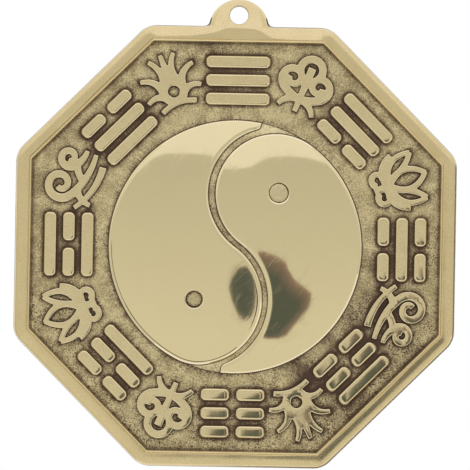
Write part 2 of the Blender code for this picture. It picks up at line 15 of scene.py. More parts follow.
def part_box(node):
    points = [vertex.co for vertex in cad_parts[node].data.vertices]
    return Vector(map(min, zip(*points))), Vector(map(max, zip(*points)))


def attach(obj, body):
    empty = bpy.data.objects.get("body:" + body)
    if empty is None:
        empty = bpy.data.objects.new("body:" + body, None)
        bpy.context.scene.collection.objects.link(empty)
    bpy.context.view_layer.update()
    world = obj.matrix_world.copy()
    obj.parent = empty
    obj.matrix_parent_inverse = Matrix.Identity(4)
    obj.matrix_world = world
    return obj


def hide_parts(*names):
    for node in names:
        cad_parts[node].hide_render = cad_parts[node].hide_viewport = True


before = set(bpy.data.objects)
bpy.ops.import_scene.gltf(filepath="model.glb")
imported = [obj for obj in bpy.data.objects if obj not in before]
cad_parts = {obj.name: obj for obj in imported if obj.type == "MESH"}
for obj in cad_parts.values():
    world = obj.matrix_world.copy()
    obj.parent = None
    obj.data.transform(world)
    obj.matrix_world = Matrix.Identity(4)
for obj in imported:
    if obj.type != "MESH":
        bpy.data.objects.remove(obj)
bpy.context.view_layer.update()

# Ground plate
# A sand-cast octagon of brass that drops into the rim from behind. Its middle rises in a dome
# that carries the mirror, and is hollow behind. The channel between the mirror halves shows it.
MM = 0.001
EIGHTH = math.radians(45)
MIDDLE_HEIGHT = -78.6 * MM
GROUND = 4.5 * MM
PLATE_BACK = 1.5 * MM
PLATE_APOTHEM = 71.2 * MM
PLATE_CELL = 1.0 * MM
RIM_INNER = 69.1 * MM
MIRROR_RADIUS = 42.9 * MM
MIRROR_EDGE = 5.5 * MM
MIRROR_RISE = 6.0 * MM
CHANNEL_DEPTH = 0.8 * MM
RECESS_DEPTH = 1.9 * MM
RECESS_MARGIN = 0.9 * MM
DOME_WALL_BACK = 4.3 * MM
DOME_CURVE = (MIRROR_RADIUS**2 + MIRROR_RISE**2) / (2 * MIRROR_RISE)

# Where patina has gathered on the ground, or is rubbed off it, with the dark spots at the lower right
# standing for a painted reflection of the camera: right, up and size in mm, and strength
GRIME_AND_PAINTED_REFLECTION = (
    (52, -22, 6, 0.55), (25, -46, 6, 0.62), (46, -33, 6, 0.30), (12, -50, 6, 0.18), (63, -16, 4, 0.25),
    (60, 22, 4, 0.12), (46, -6, 3, 0.30), (-60, -52, 6, 0.15), (-66, 22, 4, 0.15), (-48, 36, 5, 0.20),
    (-9, 67, 4, 0.20), (9, 67, 4, 0.18), (-16, 64, 3.5, 0.25), (42, -52, 6, 0.35), (-58, 40, 5, 0.12),
    (23, -40, 5.5, 0.50), (40, -23, 4.5, 0.50), (33, -31, 4.5, 0.42), (58, -36, 7, 0.32),
    (-20, -56, 5, 0.12), (-9, -44, 9, -0.16), (-46, -37, 8, -0.14), (47, -17, 5, 0.42), (34, -55, 6, 0.26),
)


def polar(radius, angle):
    return Vector((radius * math.cos(angle), radius * math.sin(angle)))


# The channel runs along two circles, one round the head of each mirror half
YIN_HEAD = polar(22.5 * MM, math.radians(53.7))
YANG_HEAD = polar(21.88 * MM, math.radians(235.2))
YIN_LOBE = 21.5 * MM
YANG_LOBE = (YIN_HEAD - YANG_HEAD).length - YIN_LOBE
CHANNEL_STRIP = 2.6 * MM


def mirror_depth(radius):
    """Depth of the mirror's polished face at a distance from its middle."""
    return MIRROR_EDGE + np.sqrt(DOME_CURVE**2 - radius**2) - (DOME_CURVE - MIRROR_RISE)


def ramp(value, low, high):
    """A smooth step from 0 at low to 1 at high."""
    share = np.clip((value - low) / (high - low), 0, 1)
    return share * share * (3 - 2 * share)


def waves(x, z, size, seed):
    """Smooth unevenness, about -1 to 1, with features of the given size."""
    return 1.6 * noise.noise(Vector((x / size, z / size, seed)))


def lumps(x, z, *layers):
    """How uneven a surface is at a spot, from waves of a height and a size in mm and a seed."""
    return MM * sum(height * waves(x, z, size * MM, seed) for height, size, seed in layers)


def wire(tree, kind, inputs=None, **settings):
    """Adds a shader node with its settings, and links or sets its inputs."""
    made = tree.nodes.new("ShaderNode" + kind)
    for key, value in settings.items():
        setattr(made, key, value)
    for key, value in (inputs or {}).items():
        if isinstance(value, bpy.types.NodeSocket):
            tree.links.new(value, made.inputs[key])
        else:
            made.inputs[key].default_value = value
    return made


def mixed(tree, share, first, second):
    """Mix of two colours or two numbers by a share."""
    colours = isinstance(second, tuple)
    kind = "RGBA" if colours else "FLOAT"
    mix = wire(tree, "Mix", data_type=kind)
    tree.links.new(share, mix.inputs[0])
    ends = (6, 7) if colours else (2, 3)
    for end, value in zip(ends, (first, second)):
        if isinstance(value, bpy.types.NodeSocket):
            tree.links.new(value, mix.inputs[end])
        else:
            mix.inputs[end].default_value = value
    return mix.outputs[2 if colours else 0]


def maths(tree, operation, *values):
    """One step of arithmetic on numbers or on what other shader nodes give."""
    return wire(tree, "Math", dict(enumerate(values)), operation=operation).outputs[0]


def ranged(tree, value, low, high, bottom=0.0, top=1.0, **settings):
    """A value carried over from low and high to bottom and top, and held between these."""
    return wire(tree, "MapRange", {"Value": value, "From Min": low, "From Max": high,
                                   "To Min": bottom, "To Max": top}, **settings).outputs[0]


def cloudy(tree, place, scale, detail=1.0, roughness=0.5):
    """Soft random spots from 0 to 1, about 1 / scale across."""
    return wire(tree, "TexNoise", {"Vector": place, "Scale": scale, "Detail": detail,
                                   "Roughness": roughness}).outputs["Fac"]


PATINA = (0.082, 0.043, 0.025, 1)
PATINA_DULL = 0.62
PATINA_METAL = 0.45
# Bright metal where the patina attribute is below zero: a painted highlight on edges and lips, and paler
# metal in a few spots of the ground
BRIGHT_METAL_AND_HIGHLIGHT = (0.95, 0.86, 0.62, 1)
BRIGHT_METAL_AND_HIGHLIGHT_LEVELS = (-0.1, -1.0)
SCRATCHED_DULL = 0.34
MOTTLE_LEVELS = (1.12, 1.52)
MOTTLE_BY_GRAIN = 1.6
MOTTLE_BY_PATINA = 0.25
MOTTLE_DULLER = 1.3


def brass(name, clean, stained, gloss, blotch, grain, bite, uneven=0.2, speckle=0.1, lines=None,
          held=0.0, breaks=(0.2, 0.75), scratches=None):
    """Brass with patina where the piece's patina attribute is high, breaking up at its edge; in some places
    that darkening is a painted shadow, in others a painted reflection.

    Where the attribute is below zero the metal takes a paler, brighter colour: on edges and lips this is a
    painted highlight.
    The clean metal shades into a stained colour in blotches. Grain and bite are the size and
    the depth of its texture. Uneven and speckle say how far blotches and grains break up the
    patina, and breaks are the levels between which it sets in. Lines may add a second height,
    whose low places hold patina. Scratches may say where the polish is scratched dull.
    """
    material = bpy.data.materials.new(name)
    material.use_nodes = True
    tree = material.node_tree
    shader = tree.nodes["Principled BSDF"]
    place = wire(tree, "TexCoord").outputs["Object"]
    patches = cloudy(tree, place, 1 / blotch, 3.0, 0.6)
    grains = cloudy(tree, place, 1 / grain, 2.0, 0.6)
    relief = wire(tree, "Bump", {"Height": grains, "Distance": bite, "Strength": 1.0})
    laid = wire(tree, "Attribute", attribute_name="patina_and_painted_light").outputs["Fac"]
    if lines:
        height = lines(tree, place)
        relief = wire(tree, "Bump", {"Height": height, "Distance": bite, "Strength": 1.0,
                                     "Normal": relief.outputs[0]})
        if held:
            laid = maths(tree, "MULTIPLY_ADD", height, -held, laid)
    broken = maths(tree, "MULTIPLY_ADD", patches, 2 * uneven, laid)
    broken = maths(tree, "MULTIPLY_ADD", grains, 4 * speckle, broken)
    level = uneven + 2 * speckle
    patina_and_painted_light = ranged(tree, broken, breaks[0] + level, breaks[1] + level, interpolation_type="SMOOTHSTEP")
    spotty = maths(tree, "MULTIPLY_ADD", grains, MOTTLE_BY_GRAIN, patches)
    mottle = ranged(tree, maths(tree, "MULTIPLY_ADD", laid, MOTTLE_BY_PATINA, spotty), *MOTTLE_LEVELS)
    brightened = ranged(tree, laid, *BRIGHT_METAL_AND_HIGHLIGHT_LEVELS)
    metal = mixed(tree, brightened, mixed(tree, mottle, clean, stained), BRIGHT_METAL_AND_HIGHLIGHT)
    polish = mixed(tree, mottle, gloss, gloss * MOTTLE_DULLER)
    if scratches:
        polish = mixed(tree, scratches(tree, place), polish, SCRATCHED_DULL)
    tree.links.new(mixed(tree, patina_and_painted_light, metal, PATINA), shader.inputs["Base Color"])
    tree.links.new(mixed(tree, patina_and_painted_light, polish, PATINA_DULL), shader.inputs["Roughness"])
    tree.links.new(mixed(tree, patina_and_painted_light, 1.0, PATINA_METAL), shader.inputs["Metallic"])
    tree.links.new(relief.outputs[0], shader.inputs["Normal"])
    return material


MARKS_ROUND = 62.0
MARKS_OUT = 240.0
MARKS_REACH = 6 * MM
MARKS_DEPTH = 0.5
RING_MIDDLE = MIRROR_RADIUS + 0.1 * MM
RING_EDGES = (0.34 * MM, 0.12 * MM)
RING_DEPTH = 1.2
PIT_SIZE = 0.55 * MM
PIT_FIELD = 11 * MM
PITS_LESS_BY_HEIGHT = 3.5


def chisel_lines(tree, place):
    """Depth of marks that run outward from the mirror, of the engraved ring, and of casting pits.

    The ring carries the mirror's circle on past the points of its halves. The pits lie mostly in
    the lower half.
    """
    x, _, height = wire(tree, "SeparateXYZ", {0: place}).outputs
    up = maths(tree, "SUBTRACT", height, MIDDLE_HEIGHT)
    radius = maths(tree, "SQRT", maths(tree, "MULTIPLY_ADD", up, up, maths(tree, "MULTIPLY", x, x)))
    swept = wire(tree, "CombineXYZ", {0: maths(tree, "MULTIPLY", maths(tree, "ARCTAN2", up, x), MARKS_ROUND),
                                      1: maths(tree, "MULTIPLY", radius, MARKS_OUT)}).outputs[0]
    marks = ranged(tree, cloudy(tree, swept, 1.0, 2.0), 0.46, 0.66)
    fade = ranged(tree, radius, MIRROR_RADIUS + MARKS_REACH, MIRROR_RADIUS + 0.8 * MM)
    fade = maths(tree, "MULTIPLY", fade, ranged(tree, radius, MIRROR_RADIUS, MIRROR_RADIUS + 0.5 * MM))
    marks = maths(tree, "MULTIPLY", marks, maths(tree, "MULTIPLY", fade, MARKS_DEPTH))
    beside = maths(tree, "ABSOLUTE", maths(tree, "SUBTRACT", radius, RING_MIDDLE))
    ring = maths(tree, "MULTIPLY", ranged(tree, beside, *RING_EDGES), RING_DEPTH)
    pits = ranged(tree, cloudy(tree, place, 1 / PIT_SIZE), 0.54, 0.66)
    fields = maths(tree, "MULTIPLY_ADD", up, -PITS_LESS_BY_HEIGHT, cloudy(tree, place, 1 / PIT_FIELD))
    pits = maths(tree, "MULTIPLY", pits, ranged(tree, fields, 0.46, 0.66, 0.1, 0.9))
    cut = maths(tree, "MAXIMUM", maths(tree, "MAXIMUM", marks, ring), pits)
    return maths(tree, "MULTIPLY", cut, -1.0)


def set_patina_and_painted_light(piece, values):
    """Stores each vertex's patina and painted light: 0 is none, 1 and more is full darkening, below 0 is
    bright metal, mostly a painted highlight.
    """
    layer = piece.data.attributes.new("patina_and_painted_light", "FLOAT", "POINT")
    layer.data.foreach_set("value", np.asarray(values, dtype=np.float32))


def finish_piece(piece, name, material, slot, *nodes):
    """Names a piece, gives it its material, and puts it in the place of its CAD nodes."""
    piece.name = piece.data.name = name
    piece.data.materials.clear()
    piece.data.materials.append(material)
    piece.data.shade_smooth()
    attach(piece, "root")
    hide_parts(*nodes)


def pick(piece, kind, test):
    """Selects, in edit mode, only the vertices, edges or faces that pass a test."""
    bpy.ops.mesh.select_mode(type=kind)
    bpy.ops.mesh.select_all(action="DESELECT")
    edit = bmesh.from_edit_mesh(piece.data)
    for element in {"VERT": edit.verts, "EDGE": edit.edges, "FACE": edit.faces}[kind]:
        if test(element):
            element.select_set(True)
    edit.select_flush_mode()
    bmesh.update_edit_mesh(piece.data)


def start_piece(add, **sizes):
    """Adds a primitive with nothing else selected, and puts its place and turn into its mesh."""
    bpy.ops.object.select_all(action="DESELECT")
    add(**sizes)
    bpy.ops.object.transform_apply(location=True, rotation=True, scale=True)
    return bpy.context.object


cells = round(2 * PLATE_APOTHEM / PLATE_CELL)
ground = start_piece(
    bpy.ops.mesh.primitive_grid_add,
    x_subdivisions=cells,
    y_subdivisions=cells,
    size=2 * PLATE_APOTHEM + 1 * MM,
    location=(0, -GROUND, MIDDLE_HEIGHT),
    rotation=(math.pi / 2, 0, 0),
)
bpy.ops.object.mode_set(mode="EDIT")
for side in range(8):
    outward = Vector((math.cos(side * EIGHTH), 0, math.sin(side * EIGHTH)))
    bpy.ops.mesh.select_all(action="SELECT")
    bpy.ops.mesh.bisect(
        plane_co=outward * PLATE_APOTHEM + Vector((0, -GROUND, MIDDLE_HEIGHT)),
        plane_no=outward,
        clear_outer=True,
    )
bpy.ops.mesh.select_all(action="SELECT")
bpy.ops.mesh.extrude_region_move(TRANSFORM_OT_translate={"value": (0, GROUND - PLATE_BACK, 0)})
bpy.ops.mesh.select_all(action="SELECT")
bpy.ops.mesh.normals_make_consistent(inside=False)


def shows(face):
    """Whether a face lies in the open ground or the channel, and so needs small cells."""
    centre = face.calc_center_median()
    spot = Vector((centre.x, centre.z - MIDDLE_HEIGHT))
    beside = min(abs((spot - YIN_HEAD).length - YIN_LOBE), abs((spot - YANG_HEAD).length - YANG_LOBE))
    return face.normal.y < -0.5 and (spot.length > MIRROR_RADIUS - 1.4 * MM or beside < CHANNEL_STRIP)


pick(ground, "FACE", shows)
bpy.ops.mesh.subdivide(number_cuts=1)
bpy.ops.object.mode_set(mode="OBJECT")

# The pieces that stand on the plate or are let into it, each to be measured from
covers = []
raised = []
for node_name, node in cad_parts.items():
    if node_name in ("ground_plate", "rim_frame", "hanging_lug"):
        continue
    corners = [v.co for v in node.data.vertices]
    solid = BVHTree.FromPolygons(corners, [f.vertices for f in node.data.polygons])
    if "mirror" in node_name or "eye" in node_name:
        covers.append(solid)
    else:
        raised.append((*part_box(node_name), solid))


def halo(gap, dark, near, faint, wide):
    """Patina that gathers beside a piece: dark close to it and faint further out."""
    return dark * math.exp(-((gap / near) ** 2)) + faint * math.exp(-((gap / wide) ** 2))


# How dark, how near, how faint and how wide the patina lies beside each kind of piece
BESIDE_RELIEF = (0.72, 0.95 * MM, 0.26, 2.3 * MM)
BESIDE_MIRROR = (0.40, 0.8 * MM, 0.20, 2.2 * MM)
BESIDE_RIM = (0.38, 0.6 * MM, 0.28, 2.4 * MM)
RELIEF_REACH = 6 * MM
MIRROR_GRIMIEST = math.radians(200)


def covered(x, z):
    """Whether the mirror covers a spot and all that lies a margin round it."""
    for dx, dz in ((1, 0), (-1, 0), (0, 1), (0, -1)):
        start = Vector((x + dx * RECESS_MARGIN, -0.1, z + dz * RECESS_MARGIN))
        if all(solid.ray_cast(start, Vector((0, 1, 0)))[0] is None for solid in covers):
            return False
    return True


def ground_stain_and_reflection(x, z, radius):
    """Patina on the open ground, from all that stands near, the mirror's edge and the rim, and the spots of
    the table, those at the lower right a painted reflection of the camera.
    """
    spot = Vector((x, -GROUND - 0.5 * MM, z))
    amount = -0.04 + 0.12 * waves(x, z, 18 * MM, 9.0) + 0.08 * waves(x, z, 7 * MM, 2.0)
    closest = RELIEF_REACH
    near = RELIEF_REACH
    for low, high, solid in raised:
        if low.x - near < x < high.x + near and low.z - near < z < high.z + near:
            gap = solid.find_nearest(spot, near)[3]
            if gap is not None:
                amount += halo(gap, *BESIDE_RELIEF)
                closest = min(closest, gap)
    height = z - MIDDLE_HEIGHT
    share = 0.6 + 0.4 * math.cos(math.atan2(height, x) - MIRROR_GRIMIEST)
    amount += share * halo(max(0, radius - MIRROR_RADIUS - 0.3 * MM), *BESIDE_MIRROR)
    amount += 0.12 * ramp(-height, -20 * MM, 40 * MM) * waves(x, z, 1.2 * MM, 6.3) - 0.04
    reach = max(x * math.cos(k * EIGHTH) + height * math.sin(k * EIGHTH) for k in range(8))
    gap = max(0, RIM_INNER - reach)
    amount += halo(gap, *BESIDE_RIM)
    # The dark spots at the lower right are a painted reflection of the camera, the others patina
    for right, up, size, strength in GRIME_AND_PAINTED_REFLECTION:
        away = math.hypot(x - right * MM, height - up * MM)
        amount += strength * math.exp(-((away / (size * MM)) ** 2))
    return amount, min(closest, gap)


stain_and_painted_light = []
for vertex in ground.data.vertices:
    x, y, z = vertex.co
    radius = math.hypot(x, z - MIDDLE_HEIGHT)
    if y > -(GROUND + PLATE_BACK) / 2:
        if radius < MIRROR_RADIUS:
            vertex.co.y = -max(PLATE_BACK, mirror_depth(radius) - DOME_WALL_BACK)
        vertex.co.y -= lumps(x, z, (0.08, 6, 7.5), (0.04, 2, 3.1))
        stain_and_painted_light.append(0.30 + 0.15 * waves(x, z, 16 * MM, 2.0))
    elif radius < MIRROR_RADIUS + 0.2 * MM:
        sunk = RECESS_DEPTH if covered(x, z) else CHANNEL_DEPTH
        vertex.co.y = sunk - mirror_depth(min(radius, MIRROR_RADIUS))
        gap = min(solid.find_nearest(vertex.co)[3] for solid in covers)
        crescent = ramp(radius, MIRROR_RADIUS - 6 * MM, MIRROR_RADIUS - 3 * MM)
        worn = 0.3 * crescent - 0.26 * math.exp(-((radius / (15 * MM)) ** 2))
        stain_and_painted_light.append(0.06 - worn + 0.50 * math.exp(-((gap / (0.34 * MM)) ** 2)))
    else:
        amount, gap = ground_stain_and_reflection(x, z, radius)
        vertex.co.y -= lumps(x, z, (0.10, 5, 0.5), (0.06, 1.7, 4.5)) * ramp(gap, 0, 1 * MM)
        stain_and_painted_light.append(amount)
set_patina_and_painted_light(ground, stain_and_painted_light)

cast_brass = brass("sand_cast_brass", (0.83, 0.69, 0.415, 1), (0.48, 0.385, 0.215, 1), 0.38,
                   5 * MM, 0.40 * MM, 0.06 * MM, 0.15, 0.22, chisel_lines, 0.6, (-0.05, 0.95))
finish_piece(ground, "ground", cast_brass, "aged_brass", "ground_plate")

# Rim
# The octagonal frame of the plaque: rounded outer corners, a gently crowned polished band, a
# fine groove and a raised arris along the inner edge. A rebate behind takes the plate.
RIM_APOTHEM = 75 * MM
RIM_CORNER = 8 * MM
RIM_SHARP_CORNER = 0.8 * MM
CORNER_POINTS = 9
FLAT_POINTS = 47
LUG_RADIUS = 10.2 * MM
LUG_CENTRE_BELOW = 1.0 * MM
LUG_FLARE = 1.6 * MM
LUG_LEAN = 0.22
LEAN_SETS_IN = (-0.3 * MM, 1.0 * MM)
TOP_REACH = 30 * MM
TOP_FULL = 25 * MM
CROWN_CLOSING = 1.45
CLOSING = 1.75
RIM_UNEVEN = ((0.060, 15, 5.0), (0.010, 5, 1.0))
# The arris's negative value brightens it as a painted highlight; the other entries are patina
RIM_PATINA_AND_HIGHLIGHT = {"side": 0.70, "back": 0.30, "crown_foot": 0.45, "groove": 0.35, "inner_wall": 0.55,
              "arris": -0.5}

# The rim's section from the back round the front, as inset from the outer line and depth
RIM_BACK = ((3.5, 0.0), (2.0, 0.0), (0.5, 0.0), (0.12, 0.12), (0.0, 0.5), (0.1, 2.0), (0.25, 3.8))
RIM_CROWN = (
    (0.40, 5.00), (0.43, 5.32), (0.50, 5.62), (0.62, 5.89), (0.80, 6.13), (1.00, 6.31), (1.22, 6.43),
    (1.50, 6.535), (1.80, 6.615), (2.20, 6.705), (2.65, 6.795), (3.10, 6.865), (3.60, 6.917),
    (4.10, 6.952), (4.45, 6.967),
)
RIM_ARRIS = (
    (4.65, 6.95), (4.78, 6.91), (4.92, 7.03), (5.04, 7.28), (5.16, 7.46), (5.28, 7.50), (5.40, 7.48),
    (5.50, 7.40), (5.57, 7.22), (5.63, 6.80), (5.72, 6.00), (5.82, 5.20), (5.92, 4.80), (3.5, 4.80),
)
crown_insets = [inset * MM for inset, _ in RIM_CROWN]
crown_depths = [depth * MM for _, depth in RIM_CROWN]

# Above this line, given as x and height over the top flat in mm, the face leans back
ARCH = ((-30, -4.3), (-16.4, -3.7), (-12.6, -3.0), (-7, -2.4), (-4.7, -1.5), (-3.2, -1.0), (0, -1.2),
        (4.7, -1.3), (7.7, -1.9), (10, -3.2), (12, -4.3), (16, -4.7), (30, -4.7))


def octagon(inset, corner, flat_points=FLAT_POINTS):
    """One turn of the rim, counterclockwise seen from the front, starting after the right flat."""
    reach = (RIM_APOTHEM - inset - corner) / math.cos(EIGHTH / 2)
    points = []
    for i in range(8):
        angle = (i + 0.5) * EIGHTH
        turn = [angle - EIGHTH / 2 + EIGHTH * k / (CORNER_POINTS - 1) for k in range(CORNER_POINTS)]
        points += [polar(reach, angle) + polar(corner, a) for a in turn]
        start = points[-1]
        end = polar(reach, angle + EIGHTH) + polar(corner, turn[-1])
        points += [start.lerp(end, (k + 1) / (flat_points + 1)) for k in range(flat_points)]
    return points


def flat_array(points):
    """Flat points as an array, each a row."""
    return np.array([tuple(p) for p in points])


def distance_to(points, outline):
    """Distance from each point to the nearest side of a closed outline."""
    p = flat_array(points)[:, None, :]
    a = flat_array(outline)[None, :, :]
    side = np.roll(a, -1, axis=1) - a
    share = np.clip(((p - a) * side).sum(2) / np.maximum((side**2).sum(2), 1e-18), 0, 1)
    return np.sqrt((((a + share[..., None] * side) - p) ** 2).sum(2).min(1))


# The lug's outline above the top flat, with flares that run out into the rim
lug_centre = Vector((0, RIM_APOTHEM - LUG_CENTRE_BELOW))
flare_x = math.sqrt((LUG_RADIUS + LUG_FLARE) ** 2 - (LUG_CENTRE_BELOW + LUG_FLARE) ** 2)
flare_centre = Vector((flare_x, RIM_APOTHEM + LUG_FLARE))
meeting = (lug_centre - flare_centre).to_2d()
meeting_angle = math.atan2(meeting.y, meeting.x) + math.tau
lug_top = []
for k in range(9):
    lug_top.append(flare_centre + polar(LUG_FLARE, 1.5 * math.pi + (meeting_angle - 1.5 * math.pi) * k / 8))
lift = meeting_angle - math.pi
for k in range(1, 56):
    lug_top.append(lug_centre + polar(LUG_RADIUS, lift + (math.pi - 2 * lift) * k / 56))
lug_top += [Vector((-p.x, p.y)) for p in reversed(lug_top[:9])]

# The outer line of rim and lug together: the right end of the top flat, the lug, and round again
outer_line = octagon(0, RIM_CORNER, 1)
joined_line = [p for p in outer_line if not (abs(p.x) < flare_x and p.y > 0)]
after = next(i for i, p in enumerate(joined_line) if p.x < 0 and p.y > 0)
joined_line = joined_line[:after] + lug_top + joined_line[after:]


def face_depth(points):
    """Depth of the polished face of rim and lug: a crown by the distance from the outer line."""
    x, z = flat_array(points).T
    depth = np.interp(distance_to(points, joined_line), crown_insets, crown_depths)
    along, height = (np.array(values) * MM for values in zip(*ARCH))
    rise = np.clip(z - RIM_APOTHEM - np.interp(x, along, height), 0, None)
    return depth - ramp(np.abs(x), TOP_REACH, TOP_FULL) * LUG_LEAN * rise * ramp(rise, *LEAN_SETS_IN)


def lay_rings(piece, rings):
    """Extrudes a piece's open edge through rings of points, the first of which it already has."""
    for ring in rings[1:]:
        bpy.ops.mesh.extrude_edges_move()
        edit = bmesh.from_edit_mesh(piece.data)
        edit.verts.ensure_lookup_table()
        for vertex, place in zip(edit.verts[-len(ring):], ring):
            vertex.co = place
        bmesh.update_edit_mesh(piece.data)


def in_space(points, depths):
    """Flat points about the plaque's middle, each at its own depth."""
    return [Vector((p.x, -d, p.y + MIDDLE_HEIGHT)) for p, d in zip(points, depths)]


def rim_patina_and_highlight(inset, depth):
    """Patina at a place of the rim's section, and the painted highlight on the arris. The crown has none
    above its foot.
    """
    if (inset, depth) in RIM_BACK:
        return RIM_PATINA_AND_HIGHLIGHT["side" if inset < 0.3 and depth > 0.3 else "back"]
    if (inset, depth) in RIM_CROWN:
        return RIM_PATINA_AND_HIGHLIGHT["crown_foot"] if depth < 5.1 else 0.0
    level = RIM_PATINA_AND_HIGHLIGHT["inner_wall"] * ramp(-depth, -7.0, -5.4)
    if 4.7 < inset < 4.85:
        level = RIM_PATINA_AND_HIGHLIGHT["groove"]
    return level + RIM_PATINA_AND_HIGHLIGHT["arris"] * ramp(depth, 7.44, 7.5)


rim_rings = []
rim_stain_and_highlight = []
for inset, depth in (*RIM_BACK, *RIM_CROWN, *RIM_ARRIS):
    on_crown = (inset, depth) in RIM_CROWN
    closing = CROWN_CLOSING if on_crown else CLOSING
    outline = octagon(inset * MM, max(RIM_SHARP_CORNER, RIM_CORNER - closing * inset * MM))
    depths = np.full(len(outline), depth * MM)
    if on_crown:
        at_top = [i for i, p in enumerate(outline) if abs(p.x) < TOP_REACH and p.y > 0.9 * RIM_APOTHEM]
        depths[at_top] = face_depth([outline[i] for i in at_top])
        depths += [lumps(p.x, p.y, *RIM_UNEVEN) for p in outline]
    rim_rings.append(in_space(outline, depths))
    rim_stain_and_highlight += [rim_patina_and_highlight(inset, depth)] * len(outline)

rim = start_piece(
    bpy.ops.mesh.primitive_circle_add,
    vertices=len(rim_rings[0]),
    radius=RIM_APOTHEM,
    location=(0, 0, 0),
)
for vertex, place in zip(rim.data.vertices, rim_rings[0]):
    vertex.co = place
bpy.ops.object.mode_set(mode="EDIT")
bpy.ops.mesh.select_mode(type="EDGE")
bpy.ops.mesh.select_all(action="SELECT")
lay_rings(rim, rim_rings)
bpy.ops.mesh.select_mode(type="EDGE")
bpy.ops.mesh.select_all(action="DESELECT")
bpy.ops.mesh.select_non_manifold()
bpy.ops.mesh.bridge_edge_loops()
bpy.ops.mesh.select_all(action="SELECT")
bpy.ops.mesh.normals_make_consistent(inside=False)
bpy.ops.object.mode_set(mode="OBJECT")
set_patina_and_painted_light(rim, rim_stain_and_highlight)

# The notch behind that takes the lug's tongue
bpy.ops.object.select_all(action="DESELECT")
bpy.ops.mesh.primitive_cube_add(
    size=1,
    location=(0, -1.45 * MM, MIDDLE_HEIGHT + RIM_APOTHEM + 0.85 * MM),
    scale=(12.6 * MM, 4.9 * MM, 6.3 * MM),
)
notch = bpy.context.object


def apply_modifier(piece, kind, **settings):
    """Changes a piece's mesh by one modifier."""
    added = piece.modifiers.new(kind.lower(), kind)
    for key, value in settings.items():
        setattr(added, key, value)
    bpy.context.view_layer.objects.active = piece
    bpy.ops.object.modifier_apply(modifier=added.name)


apply_modifier(rim, "BOOLEAN", operation="DIFFERENCE", solver="EXACT", object=notch)
bpy.data.objects.remove(notch)

BRUSH_TURN = math.radians(-48)
BRUSH_STRETCH = 18
BRUSH_SCALE = 2600.0


def brushed(tree, place):
    """Faint polishing marks that all run one way, up to the right."""
    laid = wire(tree, "Mapping", {"Vector": place, "Rotation": (0, BRUSH_TURN, 0),
                                  "Scale": (BRUSH_STRETCH, 1, 1)}, vector_type="TEXTURE")
    return cloudy(tree, laid.outputs[0], BRUSH_SCALE, 2.0)


rim_brass = brass("rim_brass", (0.785, 0.64, 0.375, 1), (0.73, 0.585, 0.33, 1), 0.17, 9 * MM, 0.5 * MM,
                  0.0012 * MM, 0.15, 0.08, brushed)
finish_piece(rim, "rim", rim_brass, "rim_brass", "rim_frame")
rim.data.set_sharp_from_angle(angle=math.radians(50))

# Hanging lug
# A round ear with a drilled hole, whose polished face leans back from the top of the rim and
# runs into it without a step. Its tongue lies in the rim's notch, soldered from behind.
LUG_SEAM = 0.4 * MM
LUG_SPACING = 0.55 * MM
LUG_EDGE_REACH = (0, 0.1 * MM, 0.4 * MM)
LUG_EDGE_DROP = (0.9 * MM, 0.35 * MM, 0)
LUG_WALLS = ((0.0, 1.2 * MM, 0.6), (0.0, None, 0.5))
HOLE_ABOVE = 3.6 * MM
HOLE_RADIUS = 3.15 * MM
HOLE_ROUND = 0.4 * MM
HOLE_ROUND_DROP = 0.22 * MM
ROW_STEP = 0.866
RING_CLEAR = 0.93
GRID_CLEAR = 0.4


def hex_points(low, high, spacing):
    """Points in staggered rows that fill a rectangle."""
    rows = int((high.y - low.y) / (spacing * ROW_STEP)) + 1
    columns = int((high.x - low.x) / spacing) + 1
    return [
        Vector((low.x + (i + 0.5 * (j % 2)) * spacing, low.y + j * spacing * ROW_STEP))
        for j in range(rows)
        for i in range(columns)
    ]


def inside(points, outline):
    """Which points lie inside a closed outline, by the crossings of a line to the right."""
    p = flat_array(points)
    a = flat_array(outline)
    found = np.zeros(len(p), dtype=bool)
    for (ax, az), (bx, bz) in zip(a, np.roll(a, -1, axis=0)):
        if az == bz:
            continue
        crosses = (az > p[:, 1]) != (bz > p[:, 1])
        at = ax + (p[:, 1] - az) * (bx - ax) / (bz - az)
        found ^= crosses & (p[:, 0] < at)
    return found


def mesh_object(name, mesh):
    """An object in the scene from a mesh that is being built."""
    data = bpy.data.meshes.new(name)
    mesh.to_mesh(data)
    mesh.free()
    made = bpy.data.objects.new(name, data)
    bpy.context.scene.collection.objects.link(made)
    return made


